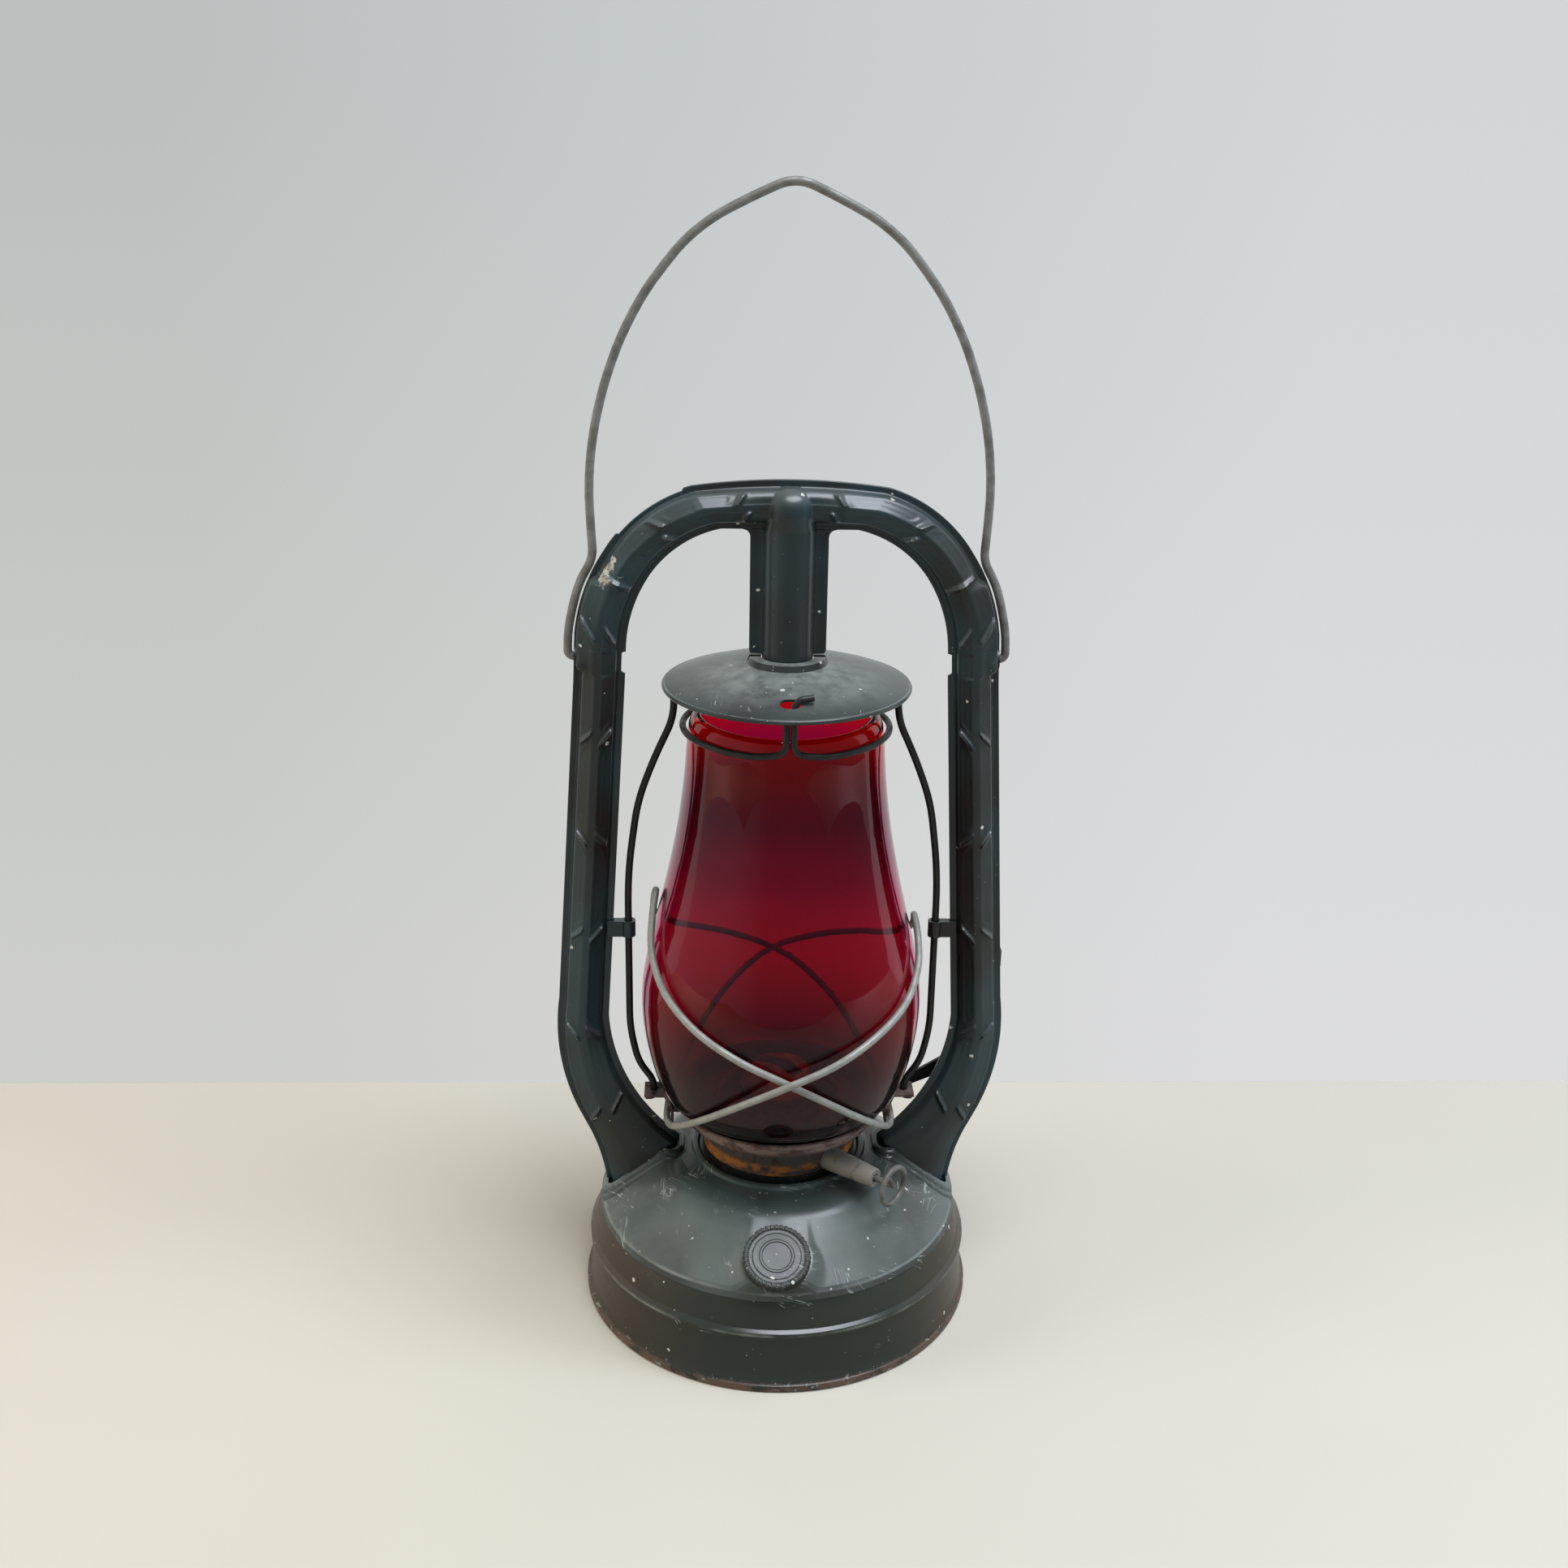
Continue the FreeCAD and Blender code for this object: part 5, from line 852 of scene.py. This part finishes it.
class LANTERN_OT_guard(bpy.types.Operator):
    """Bend the two crossed guard hoops"""

    bl_idname = "lantern.guard"
    bl_label = "Guard wires"

    def execute(self, context):
        gap = context.scene.lantern_sizes.guard_gap / MM
        for node, side, rise, route in (("guard_wire_left", -1, 3.2, GUARD_LEFT),
                                        ("guard_wire_right", 1, 0.0, GUARD_RIGHT)):
            front = []
            for angle, height in route:
                if height < 100:
                    reach = 46.1 + (height - route[0][1]) * 0.24
                else:
                    reach = globe_radius(height) + GUARD_WIRE + gap
                # One hoop crosses over the other
                reach += rise * math.exp(-(((angle - 92) / 26) ** 2))
                turn = math.radians(angle)
                front.append(
                    Vector((side * reach * math.cos(turn), -reach * math.sin(turn), height)))
            back = [Vector((point.x, -point.y, point.z)) for point in reversed(front[1:-1])]
            hoop = wire_ring(f"{node}_hoop", through(front + back, 10, True), GUARD_WIRE)
            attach(hoop, "carriage")
            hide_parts(node)
            dress(hoop, "guard_zinc")
        return {"FINISHED"}


# ------------------------------------------------------------------ tank and filler

# Reach and height in mm of the tank top's shoulder and of its rim, and the slope between them
SHOULDER, SHOULDER_HEIGHT = 48, 60.4
RIM, RIM_HEIGHT = 72.4, 41.3
SLOPE = (60.5 - RIM_HEIGHT) / (RIM - SHOULDER)
CAP_CENTRE = Vector((-2.4, -63.8, RIM_HEIGHT + (RIM - 63.8) * SLOPE))
CAP_AXIS = Vector((0, -math.sin(math.radians(30)), math.cos(math.radians(30))))


def slope_height(reach):
    """Height of the tank top at a distance from the axis."""
    return SHOULDER_HEIGHT - max(reach - SHOULDER, 0) * SLOPE


def with_boss(point):
    """Raise the tank top into the swollen seat round the filler, with a soft bead at its edge."""
    off = point - CAP_CENTRE
    along = off.dot(CAP_AXIS)
    across = (off - CAP_AXIS * along).length
    if across > 22 or point.z < 38:
        return point
    bead = 0.3 * math.exp(-((across - 15.2) / 1.2) ** 2)
    lift = (1.9 + 0.5 * (point.y - CAP_CENTRE.y)) / CAP_AXIS.z + CAP_CENTRE.z - point.z
    rising = (point.y - CAP_CENTRE.y) / max(across, 1)
    share = 1 - smooth_step(13.2, 18.6 - 3.2 * rising, across)
    point.z += max(lift, -0.4) * share + bead
    return point


class LANTERN_OT_tank(bpy.types.Operator):
    """Spin the tank's skirt and top, with the swollen seat of the filler"""

    bl_idname = "lantern.tank"
    bl_label = "Fuel tank"

    def execute(self, context):
        skirt = lathe("tank_skirt", [
            (77.2, 0.4, 0.4), (78.4, 0, 0.9), (80, 0.3, 0.9), (80, 3.1, 0.9), (79.2, 3.3, 0.3),
            (78.3, 7, 4), (77.6, 14, 6), (77.0, 23.0, 0.9), (78.2, 24.2, 0.8), (78.2, 25.7, 0.8),
            (76.3, 26.9, 0.9), (75.0, 33), (73.6, 37.0, 0.3), (73.4, 37.4), (71, 37.4), (71, 36.6),
            (72.6, 36.6), (74.0, 33), (75.6, 26.4), (77.2, 25), (76.2, 23.4), (77.2, 14),
            (77.8, 6)], 240, 38)
        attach(skirt, "frame")
        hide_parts("tank_body")
        dress(skirt, "skirt_paint")
        outside = [(73.5, 37.45), (73.5, 37.9, 0.3), (73.3, 38.6, 0.4), (72.9, 40.2, 0.8),
                   (71.9, 41.7, 1.2)]
        outside += [(RIM - step, RIM_HEIGHT + step * SLOPE) for step in range(2, 15)]
        outside += [(48.4, 60.3, 16), (41.5, 61.7, 6), (37.4, 62.0, 0.6), (36.1, 62.4, 0.6),
                    (35.2, 63.5, 0.7), (33.4, 63.5, 0.7), (32.6, 62.2, 0.5), (27.6, 62.2)]
        inside = [(27.6, 61.4), (36, 61.4), (47.6, 59.7), (71.8, 40.6), (72.7, 39), (72.7, 37.45)]
        top = lathe("tank_dome", outside + inside, 360, 38, with_boss)
        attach(top, "frame")
        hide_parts("tank_top")
        dress(top, "tank_paint")
        return {"FINISHED"}


def seated(point):
    """Place a point of the cap: its crown faces along the filler's axis."""
    turn = CAP_AXIS.to_track_quat("Z", "Y")
    return CAP_CENTRE + CAP_AXIS * 7.2 + turn @ Vector(point)


def fluted(point):
    """Press the grip flutes and the beading of the crown's edge."""
    reach = math.hypot(point.x, point.y)
    wave = 0.5 + 0.5 * math.cos(40 * math.atan2(point.y, point.x))
    if reach > 12.4 and point.z < -0.2:
        inset = 1 - 0.32 * (1 - wave) / reach
        point.x, point.y = point.x * inset, point.y * inset
    if 11.2 < reach < 13.1 and point.z > -0.9:
        point.z -= 0.3 * (1 - wave)
    return seated(point)


class LANTERN_OT_cap(bpy.types.Operator):
    """Press the fluted filler cap"""

    bl_idname = "lantern.cap"
    bl_label = "Filler cap"

    def execute(self, context):
        cap = lathe("cap_fluted", [
            (0, -1.6), (9.9, -1.6), (9.9, -4.5), (13.0, -4.5, 0.3), (13.15, -3.9, 0.2),
            (13.15, -1.2, 0.5), (12.9, -0.3, 0.4), (12.2, 0, 0.3), (11.3, -0.05, 0.3),
            (10.7, -0.7, 0.3), (9.6, -0.75, 0.3), (9.1, -0.5, 0.2), (6.9, -0.5, 0.2),
            (6.5, -0.25, 0.2), (5.9, -0.25, 0.2), (5.5, -0.5, 0.2), (0, -0.45)], 320, 60, fluted)
        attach(cap, "cap")
        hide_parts("filler_cap")
        dress(cap, "cap_tin")
        return {"FINISHED"}


def slanted_tube(name, start, finish, widths):
    """Tube from a start to a finish: outer radius at both ends and its bore."""
    start, finish = Vector(start), Vector(finish)
    turn = (finish - start).to_track_quat("Z", "Y")
    length = (finish - start).length
    near, far, bore = widths
    corners = [(bore, 0), (near, 0, 0.2), (far, length * 0.94), (far - 0.1, length, 0.5),
               (bore, length)]
    return lathe(name, corners, 48, 50, lambda point: start + turn @ Vector(point))


# Middle of a tube's foot from the axis, its half sizes, the rounding of its corners, and how far
# from the axis the lip may reach
FOOT_MIDDLE = 56.2
FOOT_HALF = (15.6, 8.4)
FOOT_CORNER = 4.5
LIP_REACH = 73.2
SOCKET_PROFILE = [
    (-1.2, 3.3), (0.1, 3.3), (0.7, 3.2), (1.2, 2.8), (1.5, 2.3), (1.7, 1.8), (1.9, 1.5), (2.2, 1.6),
    (2.7, 1.55), (3.2, 1.1), (3.6, 0.4), (3.9, -0.5), (3.0, -1.0), (-1.2, -1.0)]


def foot_socket(name, side):
    """Drawn lip of the tank top round a tube's foot."""
    half_x, half_y = (half - FOOT_CORNER for half in FOOT_HALF)
    outline = []
    for quarter, (right, far) in enumerate(((1, 1), (-1, 1), (-1, -1), (1, -1))):
        for step in range(13):
            turn = math.radians(90 * quarter + 7.5 * step)
            outline.append((right * half_x + FOOT_CORNER * math.cos(turn),
                            far * half_y + FOOT_CORNER * math.sin(turn), turn))
    dense = []
    for (x, y, turn), (next_x, next_y, _) in zip(outline, outline[1:] + outline[:1]):
        steps = max(int(math.hypot(next_x - x, next_y - y) / 1.5), 1)
        dense += [(x + (next_x - x) * step / steps, y + (next_y - y) * step / steps, turn)
                  for step in range(steps)]
    points = []
    for x, y, turn in dense:
        for out, up in SOCKET_PROFILE:
            spot = Vector((side * (FOOT_MIDDLE + x + out * math.cos(turn)),
                           y + out * math.sin(turn)))
            reach = min(spot.length, LIP_REACH)
            spot *= reach / spot.length
            points.append((spot.x, spot.y, slope_height(reach) + up))
    return mesh_piece(name, points, skin(len(dense), len(SOCKET_PROFILE), True), 40)


class LANTERN_OT_fittings(bpy.types.Operator):
    """Draw the lips round the tube feet and the sleeve of the wick spindle"""

    bl_idname = "lantern.fittings"
    bl_label = "Tank fittings"

    def execute(self, context):
        for node, side in (("tube_socket_left", -1), ("tube_socket_right", 1)):
            lip = foot_socket(f"{node}_lip", side)
            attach(lip, "frame")
            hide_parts(node)
            dress(lip, "tank_paint")
        sleeve = slanted_tube("spindle_sleeve_tube", (18.2, -22.0, 69.3), (37.2, -38.0, 69.3),
                              (5.0, 3.9, 1.75))
        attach(sleeve, "frame")
        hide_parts("spindle_sleeve")
        dress(sleeve, "sleeve_tin")
        return {"FINISHED"}


# ------------------------------------------------------------------ carried-over parts

NODE_FINISHES = {
    "frame_paint": ["bail_eyelet_left", "bail_eyelet_right", "wire_guide_left", "wire_guide_right"],
    "canopy_paint": ["canopy"],
    "bare_tin": ["tank_bottom", "filler_neck", "lever_spacer", "lever_rivet"],
    "rusty_plate": ["globe_plate"],
    "collar_tin": ["burner_collar"],
    "burner_tin": ["burner_body", "air_plate"],
    "brass": ["flame_cone", "wick_tube", "wick_wheels"],
    "cork": ["filler_gasket"],
    "cotton": ["wick"],
    "dark_wire": ["globe_ring", "lift_wire_left", "lift_wire_right", "lift_lever"],
    "bail_wire": ["bail"],
    "knob_wire": ["wick_spindle"],
}


class LANTERN_OT_finishes(bpy.types.Operator):
    """Give the parts that keep their solid shape their finish"""

    bl_idname = "lantern.finishes"
    bl_label = "Finishes of solid parts"

    def execute(self, context):
        for finish, nodes in NODE_FINISHES.items():
            for node in nodes:
                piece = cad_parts[node]
                piece.data.materials.clear()
                piece.data.materials.append(MATERIALS[finish])
                piece.data.shade_smooth()
                piece.data.set_sharp_from_angle(angle=math.radians(35))
        return {"FINISHED"}


class LANTERN_OT_materials(bpy.types.Operator):
    """Mix the paints, glass and metals"""

    bl_idname = "lantern.materials"
    bl_label = "Materials"

    def execute(self, context):
        MATERIALS.update(lantern_materials(context.scene.lantern_colours))
        return {"FINISHED"}


# ------------------------------------------------------------------ stage

# Camera as fitted to the photograph: side of its frame and focal length in pixels, place in mm, and
# turns in degrees to the right, downwards and about the line of sight
PHOTO_SIDE = 1932
FOCAL_LENGTH = 2142
CAMERA_PLACE = (-25.8, -625.4, 456.0)
CAMERA_TURNS = (2.33, 20.55, 1.09)
SENSOR = 36

# Half side of the table and distance of the wall from the lantern, in metres
TABLE_HALF = 1
WALL = 0.155


def flat_sheet(name, corners):
    """Sheet of the stage through four corners in metres."""
    mesh = bpy.data.meshes.new(name)
    mesh.from_pydata(corners, [], [(0, 1, 2, 3)])
    piece = placed(name, mesh)
    return piece


def area_light(name, spot, aim, width, height, power, colour, mirrored=True):
    """Soft lamp in metres and watts that looks from a spot to an aim."""
    lamp = bpy.data.lights.new(name, "AREA")
    lamp.shape = "RECTANGLE"
    lamp.size, lamp.size_y = width, height
    lamp.energy = power
    lamp.color = linear(colour)
    piece = placed(name, lamp)
    piece.visible_glossy = piece.visible_transmission = mirrored
    piece.location = spot
    piece.rotation_euler = (Vector(aim) - Vector(spot)).to_track_quat("-Z", "Y").to_euler()


class LANTERN_OT_stage(bpy.types.Operator):
    """Set the table, the wall, the soft lamps and the camera"""

    bl_idname = "lantern.stage"
    bl_label = "Stage"

    def execute(self, context):
        scene = context.scene
        colours = scene.lantern_colours
        side = TABLE_HALF
        table = flat_sheet("table", [(-side, -side, 0), (side, -side, 0), (side, side, 0),
                                     (-side, side, 0)])
        material, tree, shader = fresh_material("Table, pale laminate")
        tone = laid_over(tree, (colours.table, 0.7),
                         (tuple(part * 0.97 for part in colours.table), 0.8),
                         patches(tree, 260, 0.3, 0.7, 2.0))
        # Gloss on the lantern shows a dimmer table, as in the shade of a room
        dimmed = add(tree, "MixRGB",
                     {"Fac": add(tree, "LightPath").outputs["Is Glossy Ray"], "Color1": tone[0],
                      "Color2": tuple(part * 0.5 for part in colours.table)})
        plug(tree, shader, {"Base Color": dimmed, "Roughness": tone[1], "Specular IOR Level": 0.25})
        table.data.materials.append(material)

        wall = flat_sheet("wall", [(-4, WALL, 0), (4, WALL, 0), (4, WALL, 3), (-4, WALL, 3)])
        material, tree, shader = fresh_material("Wall, glowing, painted light and shade")
        # The wall glows by itself with painted shade: darker on the left and towards the top
        low = laid_over(tree, (linear("#cdcec9"), 1), (linear("#dcdcde"), 1),
                        part_of(tree, "X", -260, 240))
        high = laid_over(tree, (linear("#bbc0bf"), 1), (linear("#d2d6d8"), 1),
                         part_of(tree, "X", -260, 240))
        tone = laid_over(tree, low, high, part_of(tree, "Z", 60, 480))
        glow = add(tree, "Emission", {"Color": tone[0], "Strength": 1.0})
        behind = add(tree, "NewGeometry").outputs["Backfacing"]
        seen = add(tree, "MixShader", {"Fac": behind, 1: glow, 2: add(tree, "BsdfTransparent")})
        plug(tree, tree.nodes["Material Output"], {"Surface": seen})
        tree.nodes.remove(shader)
        wall.data.materials.append(material)
        wall.visible_diffuse = False
        wall.visible_shadow = False

        world = bpy.data.worlds.new("Soft room")
        world.use_nodes = True
        world.node_tree.nodes.clear()
        tree = world.node_tree
        # The room is lighter on the lantern's left
        aim = add(tree, "SeparateXYZ", {0: add(tree, "TexCoord").outputs["Generated"]})
        level = add(tree, "MapRange", {"Value": aim, "From Min": -0.3, "From Max": -0.8,
                                       "To Min": 0.2, "To Max": 0.5})
        ambient = add(tree, "Background", {"Color": linear("#dfe6e9"), "Strength": level})
        # The eye, and the eye through glass, see a pale backdrop beyond the table
        backdrop = add(tree, "Background", {"Color": linear("#cdd1d2"), "Strength": 1.0})
        path = add(tree, "LightPath")
        looking = add(tree, "Math",
                      {0: path.outputs["Is Camera Ray"], 1: path.outputs["Is Transmission Ray"]},
                      operation="MAXIMUM")
        shown = add(tree, "MixShader", {"Fac": looking, 1: ambient, 2: backdrop})
        add(tree, "OutputWorld", {"Surface": shown})
        scene.world = world
        area_light("lamp_top", (0.3, -0.3, 1.6), (0, 0, 0.1), 1.1, 0.8, 27, "#f0f6ff")
        area_light("lamp_left", (-1.1, -0.25, 0.42), (0, 0, 0.12), 0.5, 0.8, 8, "#fff1e0", False)
        area_light("lamp_right", (1.1, -0.35, 0.42), (0, 0, 0.1), 0.4, 0.8, 7.5, "#dceaff", False)

        camera = bpy.data.cameras.new("camera")
        camera.lens = SENSOR * FOCAL_LENGTH / PHOTO_SIDE
        camera.sensor_width = SENSOR
        camera.clip_start = 0.01
        view = placed("camera", camera)
        yaw, pitch, roll = map(math.radians, CAMERA_TURNS)
        ahead = Vector((math.sin(yaw) * math.cos(pitch), math.cos(yaw) * math.cos(pitch),
                        -math.sin(pitch)))
        right = Vector((math.cos(yaw), -math.sin(yaw), 0))
        upward = right.cross(ahead)
        leaning_right = right * math.cos(roll) + upward * math.sin(roll)
        leaning_up = upward * math.cos(roll) - right * math.sin(roll)
        turn = Matrix((leaning_right, leaning_up, -ahead)).transposed()
        view.matrix_world = Matrix.Translation(Vector(CAMERA_PLACE) * MM) @ turn.to_4x4()
        scene.camera = view
        scene.view_settings.view_transform = "Standard"
        return {"FINISHED"}


# ------------------------------------------------------------------ add-on

OPERATORS = (
    LANTERN_OT_materials,
    LANTERN_OT_frame,
    LANTERN_OT_globe,
    LANTERN_OT_guard,
    LANTERN_OT_tank,
    LANTERN_OT_cap,
    LANTERN_OT_fittings,
    LANTERN_OT_finishes,
    LANTERN_OT_stage,
)


class LANTERN_PT_panel(bpy.types.Panel):
    """Steps that dress the lantern"""

    bl_idname = "LANTERN_PT_panel"
    bl_label = "Hurricane lantern"
    bl_space_type = "VIEW_3D"
    bl_region_type = "UI"
    bl_category = "Lantern"

    def draw(self, context):
        for group in (context.scene.lantern_sizes, context.scene.lantern_colours):
            for name in group.__annotations__:
                self.layout.prop(group, name)
        for operator in OPERATORS:
            self.layout.operator(operator.bl_idname)


CLASSES = (LanternSizes, LanternColours, *OPERATORS, LANTERN_PT_panel)


def register():
    for entry in CLASSES:
        bpy.utils.register_class(entry)
    bpy.types.Scene.lantern_sizes = bpy.props.PointerProperty(type=LanternSizes)
    bpy.types.Scene.lantern_colours = bpy.props.PointerProperty(type=LanternColours)


def unregister():
    del bpy.types.Scene.lantern_colours
    del bpy.types.Scene.lantern_sizes
    for entry in reversed(CLASSES):
        bpy.utils.unregister_class(entry)


def main():
    register()
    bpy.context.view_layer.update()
    for operator in OPERATORS:
        family, step = operator.bl_idname.split(".")
        getattr(getattr(bpy.ops, family), step)()
    bpy.context.view_layer.update()


if __name__ == "__main__":
    main()
